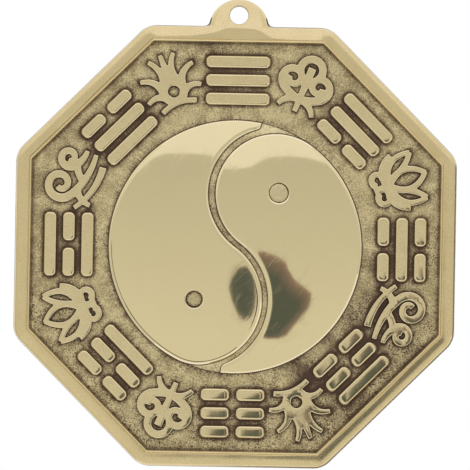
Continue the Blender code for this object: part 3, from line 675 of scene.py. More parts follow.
def relief_mesh(name, outline, hole, rings, spacing, depth_of, walls, back_of):
    """A raised piece with one hole: its face fills an outline, walls lead down from every edge.

    The rings are extra points that follow the edges. A wall is a list of (grow, depth below the
    face or None for the back, patina), where grow moves the edge out over the ground or, at the
    hole, in over it.
    """
    loops = (outline, hole)
    edges = []
    points = []
    for loop in loops:
        first = len(points)
        points += loop
        edges += [(first + i, first + (i + 1) % len(loop)) for i in range(len(loop))]
    low = Vector((min(p.x for p in outline), min(p.y for p in outline)))
    high = Vector((max(p.x for p in outline), max(p.y for p in outline)))
    deepest = max(reach for reach, _ in rings)
    filling = [(RING_CLEAR * reach, ring) for reach, ring in rings]
    filling.append((deepest + GRID_CLEAR * spacing, hex_points(low, high, spacing)))
    loose = []
    for clear, spots in filling:
        to_edge = np.min([distance_to(spots, loop) for loop in loops], axis=0)
        keep = inside(spots, outline) & (to_edge > clear) & ~inside(spots, hole)
        loose += [p for p, kept in zip(spots, keep) if kept]
    made = delaunay_2d_cdt(points + loose, edges, [], 1, 1e-8)
    flat, faces, sources = made[0], made[2], made[3]
    order = {source[0]: i for i, source in enumerate(sources) if source}
    middles = [sum((flat[i] for i in face), Vector((0, 0))) / len(face) for face in faces]
    faces = [face for face, in_hole in zip(faces, inside(middles, hole)) if not in_hole]
    depths = depth_of(flat)

    mesh = bmesh.new()
    face_verts = [mesh.verts.new(place) for place in in_space(flat, depths)]
    back_verts = [mesh.verts.new(place) for place in in_space(flat, back_of(flat))]
    stain_and_painted_light = [0.0] * len(flat) + [0.5] * len(flat)
    for face in faces:
        mesh.faces.new([face_verts[i] for i in reversed(face)])
        mesh.faces.new([back_verts[i] for i in face])
    first = 0
    for loop in loops:
        count = len(loop)
        numbers = [order[first + i] for i in range(count)]
        first += count
        upper = [face_verts[i] for i in numbers]
        alongs = [(loop[(i + 1) % count] - loop[i - 1]).normalized() for i in range(count)]
        for grow, drop, level in walls:
            lower = [back_verts[i] for i in numbers]
            if drop is not None:
                grown = [flat[i] + Vector((along.y, -along.x)) * grow for i, along in zip(numbers, alongs)]
                sunk = [depths[i] - drop for i in numbers]
                lower = [mesh.verts.new(place) for place in in_space(grown, sunk)]
                stain_and_painted_light += [level] * count
            for i in range(count):
                j = (i + 1) % count
                mesh.faces.new((upper[j], upper[i], lower[i], lower[j]))
            upper = lower
    stain_and_painted_light = [s for s, v in zip(stain_and_painted_light, mesh.verts) if v.link_faces]
    lonely = [v for v in mesh.verts if not v.link_faces]
    bmesh.ops.delete(mesh, geom=lonely, context="VERTS")
    bmesh.ops.recalc_face_normals(mesh, faces=mesh.faces)
    piece = mesh_object(name, mesh)
    set_patina_and_painted_light(piece, stain_and_painted_light)
    return piece


def circle(centre, radius, count):
    """A round outline, clockwise, as a hole in a relief needs it."""
    return [centre + polar(radius, -math.tau * k / count) for k in range(count)]


seam_height = RIM_APOTHEM - LUG_SEAM
seam_end = lug_top[0].x
steps = 44
seam = [Vector((-seam_end + 2 * seam_end * k / steps, seam_height)) for k in range(steps + 1)]
lug_outline = lug_top + seam
hole_centre = Vector((0, RIM_APOTHEM + HOLE_ABOVE))
hole = circle(hole_centre, HOLE_RADIUS, 64)
lug_rings = [
    (reach * MM, [p + (lug_centre - p).normalized() * reach * MM for p in lug_top])
    for reach in (0.03, 0.10, 0.22, 0.40, 0.65, 1.0)
]
lug_rings += [(reach * MM, circle(hole_centre, HOLE_RADIUS + reach * MM, 64)) for reach in (0.12, 0.25, 0.45)]


def lug_depth(points):
    """The common face of rim and lug, with the hole's edge a little rounded."""
    from_hole = np.array([(p - hole_centre).length - HOLE_RADIUS for p in points])
    rounding = HOLE_ROUND_DROP * np.clip(1 - from_hole / HOLE_ROUND, 0, 1) ** 2
    outer = np.interp(distance_to(points, joined_line), LUG_EDGE_REACH, LUG_EDGE_DROP)
    return face_depth(points) - rounding - outer


def flat_back(points):
    return np.zeros(len(points))


lug = relief_mesh("lug", lug_outline, hole, lug_rings, LUG_SPACING, lug_depth, LUG_WALLS, flat_back)

# The flares at the lug's foot are darkened as a painted shadow where the lug meets the rim
patina_and_painted_light = lug.data.attributes["patina_and_painted_light"].data
for vertex in lug.data.vertices:
    point = Vector((vertex.co.x, vertex.co.z - MIDDLE_HEIGHT))
    past = (point - lug_centre).length - LUG_RADIUS
    above = point.y - RIM_APOTHEM
    dark = ramp(past, -0.7 * MM, -0.3 * MM) * ramp(above, -0.3 * MM, 0.2 * MM)
    dark *= ramp(-above, -4.0 * MM, -1.5 * MM)
    patina_and_painted_light[vertex.index].value = max(patina_and_painted_light[vertex.index].value, dark)
tongue = start_piece(
    bpy.ops.mesh.primitive_cube_add,
    size=1,
    location=(0, -1.8 * MM, MIDDLE_HEIGHT + RIM_APOTHEM - 0.7 * MM),
    scale=(12 * MM, 3.6 * MM, 2.6 * MM),
)
set_patina_and_painted_light(tongue, [0.5] * len(tongue.data.vertices))
lug.select_set(True)
bpy.context.view_layer.objects.active = lug
bpy.ops.object.join()
finish_piece(lug, "lug", rim_brass, "rim_brass", "hanging_lug")
lug.data.set_sharp_from_angle(angle=math.radians(50))

# Mirror halves
# Two polished brass shells, domed like a watch glass, that fit together as the yin and yang
# signs with a sunk channel between them. Their edges roll over, widest along the lower channel.
YANG_BLEND = 16 * MM
YANG_TAIL = math.radians(79)
YIN_TAIL = math.radians(264.4)
TIP_INSET = 2.2 * MM

# Half the channel's width in mm along its upper and its lower circle, by the angle in degrees
UPPER_CHANNEL = ((54, 1.10), (85, 1.15), (120, 1.30), (190, 1.35), (220, 1.15), (234, 1.05))
LOWER_CHANNEL = ((-125, 0.72), (-80, 0.75), (-45, 0.95), (0, 1.00), (54, 1.05))
ROLL_RINGS = (0.05, 0.18, 0.31, 0.42, 0.55, 0.70, 0.82, 0.94, 1.15, 1.45, 1.8, 2.3)
EDGE_FLAT = 0.3 * MM
EDGE_ROUND = 0.8 * MM
EDGE_SLOPE = 0.55
EYE_ROUND = 0.4 * MM
EYE_ROUND_DROP = 0.3 * MM
EYE_SAG = 0.14 * MM
EYE_SAG_REACH = 0.9 * MM
CHAMFER = 1.45 * MM
CHAMFER_SLOPE = 0.2
CHAMFER_FADE = 6 * MM
SCORE_INSET = 0.94 * MM
SCORE_DEPTH = 0.06 * MM
SCORE_WIDTH = 0.06 * MM
SCORE_REACH = 34 * MM
SCORE_FADE = 14
SCORE_PATINA = 1.6
EDGE_HIGHLIGHT = 0.9
MIRROR_THICK = 1.6 * MM
MIRROR_SPACING = 0.85 * MM
MIRROR_UNEVEN = ((0.035, 26, 1.0), (0.012, 9, 6.0))
MIRROR_WALLS = (
    (0.03 * MM, 0.05 * MM, 0.3), (0.14 * MM, 0.12 * MM, 1.0), (0.30 * MM, 0.18 * MM, 1.0),
    (0.36 * MM, 0.5 * MM, 1.0), (0, None, 1.0),
)

# How much of the chamfer the upper part of the yang and of the yin half has
CHAMFER_ABOVE = (0.6, 0.0)


def arc(centre, radius, start, end, steps, channel=(), side=1):
    """Points on a circle from the start angle to the end angle, without the last one.

    Beside the channel the circle gives way on one side by half the channel's width there.
    """
    points = []
    for k in range(steps):
        angle = start + (end - start) * k / steps
        half = 0
        if channel:
            turned = math.degrees(angle)
            if turned > channel[-1][0] + 5:
                turned -= 360
            half = np.interp(turned, *zip(*channel)) * MM
        points.append(centre + polar(radius + side * half, angle))
    return points


def heading(start, end):
    return math.atan2(end.y - start.y, end.x - start.x)


def tail_end(start, end):
    return [start.lerp(end, k / 3) for k in range(3)]


def rounded_tail(points, corner, times):
    """The same outline with one corner of its tail worn round."""
    count = len(points)
    for _ in range(times):
        worn = list(points)
        for i in (corner - 1, corner, corner + 1):
            worn[i % count] = (points[i % count - 1] + 2 * points[i % count] + points[(i + 1) % count]) / 4
        points = worn
    return points


def mirror_outlines(inset):
    """Outlines of the yang and the yin half, drawn in by an inset."""
    middle = Vector((0, 0))
    edge = MIRROR_RADIUS - inset
    to_yin = heading(YANG_HEAD, YIN_HEAD)
    to_yang = to_yin + math.pi
    head_end = YANG_LOBE - LOWER_CHANNEL[0][1] * MM
    blend_offset = MIRROR_RADIUS - YANG_BLEND
    reach = head_end - YANG_BLEND
    squares = blend_offset**2 + YANG_HEAD.length_squared - reach**2
    swing = math.acos(squares / (2 * blend_offset * YANG_HEAD.length))
    blend_start = heading(middle, YANG_HEAD) % math.tau + swing
    blend_centre = polar(blend_offset, blend_start)
    blend_end = heading(YANG_HEAD, blend_centre) % math.tau

    tail = YANG_TAIL + inset / edge
    tip = heading(YIN_HEAD, polar(MIRROR_RADIUS - TIP_INSET, tail))
    yang = arc(middle, edge, tail, blend_start, 155)
    yang += arc(blend_centre, YANG_BLEND - inset, blend_start, blend_end, 12)
    yang += arc(YANG_HEAD, YANG_LOBE - inset, blend_end, to_yin + math.tau, 92, LOWER_CHANNEL, -1)
    yang += arc(YIN_HEAD, YIN_LOBE + inset, to_yang, tip, 89, UPPER_CHANNEL, 1)
    yang += tail_end(arc(YIN_HEAD, YIN_LOBE + inset, tip, tip, 1, UPPER_CHANNEL, 1)[0], yang[0])
    yang = rounded_tail(yang, -3, 2)

    tail = YIN_TAIL + inset / edge
    tip = heading(YANG_HEAD, polar(MIRROR_RADIUS - TIP_INSET, tail))
    head_angle = heading(middle, YIN_HEAD)
    yin = arc(middle, edge, tail, head_angle + math.tau, 162)
    yin += arc(YIN_HEAD, YIN_LOBE - inset, head_angle, to_yang, 92, UPPER_CHANNEL, -1)
    yin += arc(YANG_HEAD, YANG_LOBE + inset, to_yin, tip, 89, LOWER_CHANNEL, 1)
    yin += tail_end(arc(YANG_HEAD, YANG_LOBE + inset, tip, tip, 1, LOWER_CHANNEL, 1)[0], yin[0])
    return yang, rounded_tail(yin, -3, 4)


def mirror_half(name, number, eye, eye_radius, scored=None):
    """One polished half with a round hole for its eye, and a fine line scored inside its edge.

    Scored gives the angles in degrees, seen from the mirror's middle, between which that line runs.
    """
    outline = mirror_outlines(0)[number]
    opening = circle(eye, eye_radius, 72)
    rings = [(reach * MM, mirror_outlines(reach * MM)[number]) for reach in ROLL_RINGS]
    rings += [(reach * MM, circle(eye, eye_radius + reach * MM, 72)) for reach in ROLL_RINGS[:6]]

    def depth_of(points):
        x, z = flat_array(points).T
        radius = np.hypot(x, z)
        face = mirror_depth(radius) + [lumps(p.x, p.y, *MIRROR_UNEVEN) for p in points]
        edge = distance_to(points, outline)
        to_eye = np.array([(p - eye).length - eye_radius for p in points])
        upper = CHAMFER_ABOVE[number]
        share = upper + (1 - upper) * ramp(-z, -CHAMFER_FADE, CHAMFER_FADE)
        share *= ramp(-radius, -42 * MM, -40 * MM)
        roll = CHAMFER_SLOPE * share * np.clip(CHAMFER - edge, 0, None)
        bent = np.clip((EDGE_ROUND - edge) / (EDGE_ROUND - EDGE_FLAT), 0, 1)
        roll += EDGE_SLOPE * ((EDGE_ROUND - EDGE_FLAT) * bent**2 / 2 + np.clip(EDGE_FLAT - edge, 0, None))
        corner = np.clip(1 - to_eye / EYE_ROUND, 0, 0.999)
        roll += EYE_ROUND_DROP * (1 - np.sqrt(1 - corner**2))
        below = np.clip((eye.y - z) / eye_radius, 0, 1) * np.clip(1 - to_eye / EYE_SAG_REACH, 0, 1) ** 2
        return face - roll - EYE_SAG * below

    def back_of(points):
        return [max(PLATE_BACK, mirror_depth(p.length) - MIRROR_THICK) for p in points]

    half = relief_mesh(name, outline, opening, rings, MIRROR_SPACING, depth_of, MIRROR_WALLS, back_of)
    points = [Vector((v.co.x, v.co.z - MIDDLE_HEIGHT)) for v in half.data.vertices]
    edge = distance_to(points, outline)
    patina_and_painted_light = half.data.attributes["patina_and_painted_light"].data
    for vertex, point, gap, within in zip(half.data.vertices, points, edge, inside(points, outline)):
        if not within or -vertex.co.y < mirror_depth(min(point.length, MIRROR_RADIUS)) - 0.4 * MM:
            continue
        # Brightening along the half's edge and in a crescent below its eye: a painted highlight
        brightened = EDGE_HIGHLIGHT * ramp(-gap, -0.5 * MM, -0.3 * MM)
        to_eye = (point - eye).length - eye_radius
        if to_eye > 0:
            below = min(1, max(0, 0.4 + (eye.y - point.y) / eye_radius))
            patina_and_painted_light[vertex.index].value = -max(brightened, below * ramp(-to_eye, -0.6 * MM, -0.3 * MM))
        turned = math.degrees(math.atan2(point.y, point.x)) % 360
        on_line = abs(gap - SCORE_INSET) < SCORE_WIDTH and point.length > SCORE_REACH
        if scored and on_line and scored[0] < turned < scored[1]:
            fading = ramp(turned, scored[0], scored[0] + SCORE_FADE)
            fading *= ramp(-turned, -scored[1], -scored[1] + SCORE_FADE)
            vertex.co.y += SCORE_DEPTH * fading
            patina_and_painted_light[vertex.index].value = SCORE_PATINA * fading
    return half


def scratches(tree, place):
    """Thin scratches of the polishing, all one way and in patches."""
    lines = ranged(tree, brushed(tree, place), 0.50, 0.75)
    where = ranged(tree, cloudy(tree, place, 220.0), 0.38, 0.6, 0.0, 0.5)
    return maths(tree, "MULTIPLY", lines, where)


mirror_brass = brass("mirror_brass", (0.79, 0.675, 0.415, 1), (0.785, 0.655, 0.41, 1), 0.045,
                     16 * MM, 0.35 * MM, 0.0005 * MM, 0.08, 0.05, scratches=scratches)
YANG_EYE = polar(22.5 * MM, math.radians(232.8))
YIN_EYE = polar(23.5 * MM, math.radians(52.1))
EYE_GAP = 0.18 * MM
YANG_EYE_RADIUS = 2.75 * MM
YIN_EYE_RADIUS = 3.2 * MM
yang = mirror_half("mirror_yang", 0, YANG_EYE, YANG_EYE_RADIUS + EYE_GAP, (172, 302))
finish_piece(yang, "mirror_yang", mirror_brass, "mirror_brass", "yang_mirror_half")
yin = mirror_half("mirror_yin", 1, YIN_EYE, YIN_EYE_RADIUS + EYE_GAP)
finish_piece(yin, "mirror_yin", mirror_brass, "mirror_brass", "yin_mirror_half")

# Eyes
# A round stepped plug in each half: the matte head fills the hole and sits a little below the
# polish, and the tail goes through the plate, where its end shows in the hollow of the back.
eye_brass = brass("eye_brass", (0.72, 0.60, 0.355, 1), (0.56, 0.455, 0.26, 1), 0.36, 2.5 * MM, 0.35 * MM,
                  0.05 * MM, 0.2, 0.3)
EYE_TAIL_RADIUS = 2.0 * MM
EYE_TAIL_LENGTH = 2.9 * MM


def step_in(*steps):
    """Steps the selected face in and out again, by widths and heights in mm."""
    for width, rise in steps:
        bpy.ops.mesh.inset(thickness=width * MM, depth=rise * MM)


for name, place, eye_radius, sunk, stained, dark_ring in (
    ("yang", YANG_EYE, YANG_EYE_RADIUS, 0.8 * MM, 0.2, 0.62 * MM),
    ("yin", YIN_EYE, YIN_EYE_RADIUS, 0.45 * MM, -0.25, 0.4 * MM),
):
    face = Vector((place.x, -mirror_depth(place.length), place.y + MIDDLE_HEIGHT))
    dome_middle = Vector((0, DOME_CURVE - mirror_depth(0), MIDDLE_HEIGHT))
    outward = (face - dome_middle).normalized()
    head = MIRROR_THICK - sunk
    eye = start_piece(
        bpy.ops.mesh.primitive_cylinder_add,
        vertices=64,
        radius=eye_radius,
        depth=head,
        location=face - outward * (sunk + head / 2),
        rotation=outward.to_track_quat("Z", "Y").to_euler(),
    )
    bpy.ops.object.mode_set(mode="EDIT")
    pick(eye, "FACE", lambda f: f.normal.dot(outward) > 0.9)
    step_in((0.10, 0.10), (0.25, 0.05), (0.9, 0.02), (0.8, 0.0))
    pick(eye, "FACE", lambda f: f.normal.dot(outward) < -0.9)
    bpy.ops.mesh.inset(thickness=eye_radius - EYE_TAIL_RADIUS, depth=0.0)
    bpy.ops.mesh.inset(thickness=0.0, depth=EYE_TAIL_LENGTH)
    step_in((0.25, 0.12))
    bpy.ops.object.mode_set(mode="OBJECT")
    front = face - outward * sunk
    from_axis = [(v.co - front).cross(outward).length for v in eye.data.vertices]
    set_patina_and_painted_light(eye, [stained + 0.8 * ramp(d, eye_radius - dark_ring, eye_radius) for d in from_axis])
    finish_piece(eye, f"eye_{name}", eye_brass, "eye_brass", f"{name}_eye_plug")
    eye.data.set_sharp_from_angle(angle=math.radians(50))

# Trigram bars
# Cast brass bars with round corners and soft shoulders, let into the ground and polished on
# top. A broken line is two half bars. Every bar is a little uneven from the polishing wheel.
BAR_LENGTH = 22 * MM
BAR_GAP = 2.1 * MM
BAR_WIDTH = 4.3 * MM
BAR_CORNER = 1.8 * MM
BAR_FOOT = 4.0 * MM
BAR_SHOULDER = 5.0 * MM
BAR_ROW = 6.3 * MM
BAR_MIDDLE_ROW = 56.5 * MM
BAR_PROFILE = ((0.06, 0.24), (0.05, 0.17), (0.08, 0.14), (0.12, 0.125), (0.14, 0.09), (0.13, 0.045),
               (0.14, 0.018), (0.2, 0.006), (0.45, 0.002))
BAR_END = 2.6 * MM
BAR_END_DROP = 0.2 * MM
BAR_CROWN = 0.07 * MM
BAR_LIP_HIGHLIGHT = 0.6
ROW_LEAN = (0.7, 0.85, 1.15)


def model_bar(length):
    """A bar on the plaque's middle: a block with round corners, stepped in to a soft crown."""
    bar = start_piece(
        bpy.ops.mesh.primitive_cube_add,
        size=1,
        location=(0, -(BAR_FOOT + BAR_SHOULDER) / 2, 0),
        scale=(length, BAR_SHOULDER - BAR_FOOT, BAR_WIDTH),
    )
    bpy.ops.object.mode_set(mode="EDIT")
    pick(bar, "EDGE", lambda e: abs(e.verts[0].co.x - e.verts[1].co.x) > 0.9 * length)
    bpy.ops.mesh.subdivide(number_cuts=round(length / (2.5 * MM)))
    pick(bar, "EDGE", lambda e: min(abs(v.co.x) for v in e.verts) > 0.49 * length
         and abs(e.verts[0].co.y - e.verts[1].co.y) > 0.5 * MM)
    bpy.ops.mesh.bevel(offset=BAR_CORNER, segments=7, affect="EDGES")
    pick(bar, "FACE", lambda f: f.normal.y < -0.9)
    step_in(*BAR_PROFILE)
    bpy.ops.object.mode_set(mode="OBJECT")
    return bar


def copy_of(pattern):
    """A copy with a mesh of its own."""
    made = pattern.copy()
    made.data = pattern.data.copy()
    bpy.context.scene.collection.objects.link(made)
    return made


def to_place(eighths, aside, out):
    """The move from the plaque's middle to a place further out, turned by eighths of a circle."""
    spin = Matrix.Rotation(eighths * EIGHTH, 4, "Y")
    spin.translation.z = MIDDLE_HEIGHT
    return spin @ Matrix.Translation((aside, 0, out))


relief_brass = brass("relief_brass", (0.78, 0.65, 0.40, 1), (0.72, 0.585, 0.35, 1), 0.07,
                     5 * MM, 0.4 * MM, 0.0008 * MM, 0.12, 0.10, brushed)
# Each trigram from the mirror outward, and how far its bars lean outward, in degrees
TRIGRAMS = (
    ("heaven", "whole whole whole", 0.0),
    ("wind", "broken whole whole", 0.0),
    ("water", "broken whole broken", 0.0),
    ("mountain", "broken broken whole", 4.2),
    ("earth", "broken broken broken", 2.6),
    ("thunder", "whole broken broken", 0.3),
    ("fire", "whole broken whole", 0.0),
    ("lake", "whole whole broken", 0.0),
)
whole_bar = model_bar(BAR_LENGTH)
half_bar = model_bar((BAR_LENGTH - BAR_GAP) / 2)
aside = (BAR_LENGTH + BAR_GAP) / 4


def wear_bar(bar, half_length, slope):
    """Leans and rounds a bar's face, and lays patina round its foot. The lip gets a painted highlight."""
    stain_and_painted_light = []
    for vertex in bar.data.vertices:
        depth = -vertex.co.y
        # The lip, the sloping edge of the top, is brightened as a painted highlight
        lip = ramp(depth, BAR_SHOULDER + 0.2 * MM, BAR_SHOULDER + 0.4 * MM)
        lip *= ramp(-depth, -(BAR_SHOULDER + 0.85 * MM), -(BAR_SHOULDER + 0.7 * MM))
        foot = ramp(-depth, -(GROUND + 0.6 * MM), -(GROUND + 0.2 * MM))
        stain_and_painted_light.append(foot - BAR_LIP_HIGHLIGHT * lip)
        if depth > BAR_SHOULDER + 0.1 * MM:
            lean = slope * (vertex.co.z + 0.4 * BAR_WIDTH)
            near_end = max(0, 1 - (half_length - abs(vertex.co.x)) / BAR_END)
            crown = BAR_CROWN * (2 * vertex.co.z / BAR_WIDTH) ** 2
            vertex.co.y += lean + BAR_END_DROP * near_end**2 + crown
    set_patina_and_painted_light(bar, stain_and_painted_light)


for turn, (trigram, rows, lean) in enumerate(TRIGRAMS):
    for row, (level, line) in enumerate(zip(("inner", "middle", "outer"), rows.split())):
        distance = BAR_MIDDLE_ROW + (row - 1) * BAR_ROW
        slope = math.tan(math.radians(lean)) * ROW_LEAN[row] / 2
        parts = [("", 0, whole_bar, BAR_LENGTH / 2)]
        if line == "broken":
            half_length = (BAR_LENGTH - BAR_GAP) / 2 / 2
            parts = [("_left", -aside, half_bar, half_length), ("_right", aside, half_bar, half_length)]
        for suffix, shift, pattern, half_length in parts:
            bar = copy_of(pattern)
            wear_bar(bar, half_length, slope)
            bar.data.transform(to_place(turn, shift, distance))
            for vertex in bar.data.vertices:
                if -vertex.co.y > BAR_SHOULDER + 0.1 * MM:
                    vertex.co.y -= lumps(vertex.co.x, vertex.co.z, (0.035, 7, 8.0))
            finish_piece(bar, f"bar_{trigram}_{level}{suffix}", relief_brass, "relief_brass",
                         f"{trigram}_bar_{level}{suffix}")
            apply_modifier(bar, "WEIGHTED_NORMAL", keep_sharp=True)
for pattern in (whole_bar, half_bar):
    bpy.data.objects.remove(pattern)

# Corner ornaments
# Cast ornaments in four traditional designs, two of each: cloud, lotus, drifting cloud and
# flaming pearl. Each is one casting of soft-edged strokes, on two pegs through the plate.
ORNAMENT_DISTANCE = 60 * MM
ORNAMENT_FOOT = 4.3 * MM
ORNAMENT_TOP = 5.85 * MM
PEG_END = 1.35 * MM
PEG_RADIUS = 0.9 * MM
PEG_START = GROUND + 0.6 * MM
STROKE_SPARE = 0.28
FUSED_CELL = 0.16 * MM
ORNAMENT_LIP_HIGHLIGHT = 0.8


def curl(x, z, first_radius, last_radius, first_angle, last_angle, first_width, last_width):
    """A stroke along a spiral arc: its middle, its direction across and its width, in mm."""
    turn = math.radians(last_angle - first_angle)
    steps = max(6, round(abs(turn) * (first_radius + last_radius) / 2 / 0.7))
    stroke = []
    for k in range(steps + 1):
        share = k / steps
        across = polar(1, math.radians(first_angle) + turn * share)
        place = Vector((x, z)) + across * (first_radius + (last_radius - first_radius) * share)
        stroke.append((place, across, first_width + (last_width - first_width) * share))
    return stroke


def sweep(x, z, last_x, last_z, bulge, first_width, last_width):
    """A stroke from one point to another, bowed to its left."""
    start = Vector((x, z))
    chord = Vector((last_x, last_z)) - start
    left = Vector((-chord.y, chord.x)).normalized()
    steps = max(3, round(chord.length / 1.0))
    stroke = []
    for k in range(steps + 1):
        share = k / steps
        place = start + chord * share + left * 4 * bulge * share * (1 - share)
        onward = chord + left * 4 * bulge * (1 - 2 * share)
        across = Vector((onward.y, -onward.x)).normalized()
        stroke.append((place, across, first_width + (last_width - first_width) * share))
    return stroke


def both(stroke):
    flip = Vector((-1, 1))
    return [stroke, [(place * flip, across * flip, width) for place, across, width in stroke]]


CLOUD = [
    *both(curl(-4.7, 0.6, 4.2, 1.2, 248, -190, 2.2, 1.5)),
    *both(sweep(0.6, -5.6, -7.1, -2.84, 0.55, 2.2, 2.2)),
    *both(sweep(-0.4, -5.2, -6.2, -9.5, -1.0, 2.2, 1.0)),
    curl(0, 5.2, 3.8, 3.8, -35, 215, 2.1, 2.1),
    sweep(0, -9.8, 0, 6.0, 0, 1.2, 2.2),
]
DRIFTING_CLOUD = [
    curl(-3.9, 2.9, 5.2, 1.3, 250, -205, 2.4, 1.5),
    sweep(9.8, -4.4, -5.6, -2.1, 1.2, 1.0, 2.4),
    curl(5.5, 3.6, 3.5, 1.1, 250, -180, 2.2, 1.4),
    sweep(9.9, -1.2, 4.3, 0.3, 0.5, 1.0, 2.2),
    sweep(-0.4, -4.0, 4.6, 0.4, 0.5, 1.6, 2.0),
    sweep(-9.6, -4.6, 6.8, -8.2, -1.6, 1.0, 1.9),
    sweep(-3.4, -3.0, -6.8, -9.2, -1.0, 2.0, 1.0),
]
FLAMING_PEARL = [
    curl(0, -3.4, 3.4, 3.4, -95, 95, 2.2, 2.2),
    curl(0, -3.4, 3.4, 3.4, 85, 275, 2.2, 2.2),
    sweep(0, -0.5, 0, 9.8, 0, 2.6, 0.9),
    *both(sweep(-2.6, -1.2, -4.6, 9.0, -1.6, 2.4, 0.9)),
    *both(sweep(-3.4, -3.0, -9.6, 3.6, -1.8, 2.4, 0.9)),
    *both(sweep(-2.4, -5.4, -9.6, -4.4, -1.5, 2.2, 0.9)),
    sweep(-6.2, -8.9, 6.2, -8.9, 1.5, 1.2, 1.2),
]
LOTUS = [
    *both(sweep(0.2, -4.2, 0.2, 9.4, 3.6, 2.0, 1.1)),
    *both(sweep(-1.0, -4.0, -8.2, 6.8, 3.2, 2.0, 1.1)),
    *both(sweep(-3.0, 0.4, -8.2, 6.8, -0.6, 1.6, 1.1)),
    *both(sweep(-0.6, -4.6, -9.7, 0.2, 2.2, 2.0, 0.9)),
    *both(curl(-3.5, -6.7, 2.5, 1.2, -20, -310, 1.8, 1.1)),
    sweep(0, -9.2, 0, -3.5, 0, 1.8, 2.2),
]
DESIGNS = (
    ("cloud", CLOUD, ((0, -5.4), (0, 8.9))),
    ("lotus", LOTUS, ((0, -4.8), (0, -8.2))),
    ("drifting_cloud", DRIFTING_CLOUD, ((-5.6, -2.2), (4.3, 0.4))),
    ("flaming_pearl", FLAMING_PEARL, ((0, 1.2), (0, -7.0))),
)


def model_stroke(stroke):
    """A flat ribbon drawn out edge by edge along the stroke, then raised to the full height."""
    stations = []
    for place, across, width in stroke:
        reach = across * (width / 2 + STROKE_SPARE)
        sides = (place - reach, place + reach)
        stations.append([Vector((p.x * MM, -ORNAMENT_FOOT, p.y * MM)) for p in sides])
    piece = start_piece(bpy.ops.mesh.primitive_plane_add, size=1 * MM)
    for vertex, place in zip(piece.data.vertices, stations[0] + stations[1]):
        vertex.co = place
    bpy.ops.object.mode_set(mode="EDIT")
    pick(piece, "EDGE", lambda e: {v.index for v in e.verts} == {2, 3})
    for before, station in zip(stations[1:], stations[2:]):
        bpy.ops.mesh.extrude_edges_move()
        edit = bmesh.from_edit_mesh(piece.data)
        ends = [v for v in edit.verts if v.select]
        ends.sort(key=lambda v: (v.co - before[0]).length)
        for vertex, place in zip(ends, station):
            vertex.co = place
        bmesh.update_edit_mesh(piece.data)
    bpy.ops.mesh.select_all(action="SELECT")
    rise = ORNAMENT_FOOT - ORNAMENT_TOP
    bpy.ops.mesh.extrude_region_move(TRANSFORM_OT_translate={"value": (0, rise, 0)})
    bpy.ops.mesh.select_all(action="SELECT")
    bpy.ops.mesh.normals_make_consistent(inside=False)
    bpy.ops.object.mode_set(mode="OBJECT")
    return piece


def model_ornament(strokes, pegs):
    """All strokes and pegs of a design fused into one casting with soft edges."""
    parts = [model_stroke(stroke) for stroke in strokes]
    for x, z in pegs:
        parts.append(start_piece(
            bpy.ops.mesh.primitive_cylinder_add,
            vertices=24,
            radius=PEG_RADIUS,
            depth=PEG_START - PEG_END,
            location=(x * MM, -(PEG_START + PEG_END) / 2, z * MM),
            rotation=(math.pi / 2, 0, 0),
        ))
    for part in parts:
        part.select_set(True)
    bpy.context.view_layer.objects.active = parts[0]
    bpy.ops.object.join()
    ornament = bpy.context.object
    apply_modifier(ornament, "REMESH", mode="VOXEL", voxel_size=FUSED_CELL)
    apply_modifier(ornament, "SMOOTH", factor=0.5, iterations=7)
    apply_modifier(ornament, "DECIMATE", ratio=0.22)
    return ornament


patterns = [model_ornament(strokes, pegs) for _, strokes, pegs in DESIGNS]
CORNERS = ("top_right", "right_upper", "right_lower", "bottom_right", "bottom_left", "left_lower",
           "left_upper", "top_left")
for turn, corner in enumerate(CORNERS):
    design = DESIGNS[turn % 4][0]
    ornament = copy_of(patterns[turn % 4])
    ornament.data.transform(to_place(turn + 0.5, 0, ORNAMENT_DISTANCE))
    stain_and_painted_light = []
    for vertex in ornament.data.vertices:
        depth = -vertex.co.y
        # The lip, where the face of a stroke slopes away, is brightened as a painted highlight
        lip = ramp(-vertex.normal.y, 0.3, 0.5) * ramp(vertex.normal.y, -0.98, -0.9)
        lip *= ramp(depth, GROUND + 0.6 * MM, GROUND + 0.9 * MM)
        foot = ramp(-depth, -(GROUND + 0.8 * MM), -(GROUND + 0.25 * MM))
        stain_and_painted_light.append(foot - ORNAMENT_LIP_HIGHLIGHT * lip)
        if depth > GROUND + 0.9 * MM:
            vertex.co.y -= lumps(vertex.co.x, vertex.co.z, (0.04, 6, 8.0))
    set_patina_and_painted_light(ornament, stain_and_painted_light)
    finish_piece(ornament, f"ornament_{design}_{corner}", relief_brass, "relief_brass",
                 f"{design}_ornament_{corner}")
for pattern in patterns:
    bpy.data.objects.remove(pattern)

# Studio
# A plain white room with a small pale floor below the plaque and grey side walls. The polished
# brass shows one large soft card in front, darker than the room, and the camera's dark shape.
FLOOR_HEIGHT = MIDDLE_HEIGHT - 180 * MM
FLOOR_RADIUS = 0.9
FLOOR_THICK = 0.01
FLOOR_COLOUR = (0.82, 0.81, 0.79, 1)
CARD_DISTANCE = 1.0
CAMERA_DISTANCE = 0.95
CARD_COLOUR = (1.0, 1.0, 0.91, 1)
CARD_TOP_LIGHT = 0.655
CARD_FOOT_LIGHT = 0.83
CAMERA_DARK = (0.115, 0.14, 0.135, 1)
CAMERA_FRINGE = (0.34, 0.24, 0.22, 1)
CORNER_DARK = (0.16, 0.14, 0.12, 1)

world = bpy.data.worlds.new("white_room")
bpy.context.scene.world = world
world.use_nodes = True
white = world.node_tree.nodes["Background"].inputs
white["Color"].default_value = (1, 1, 1, 1)
white["Strength"].default_value = 1.0

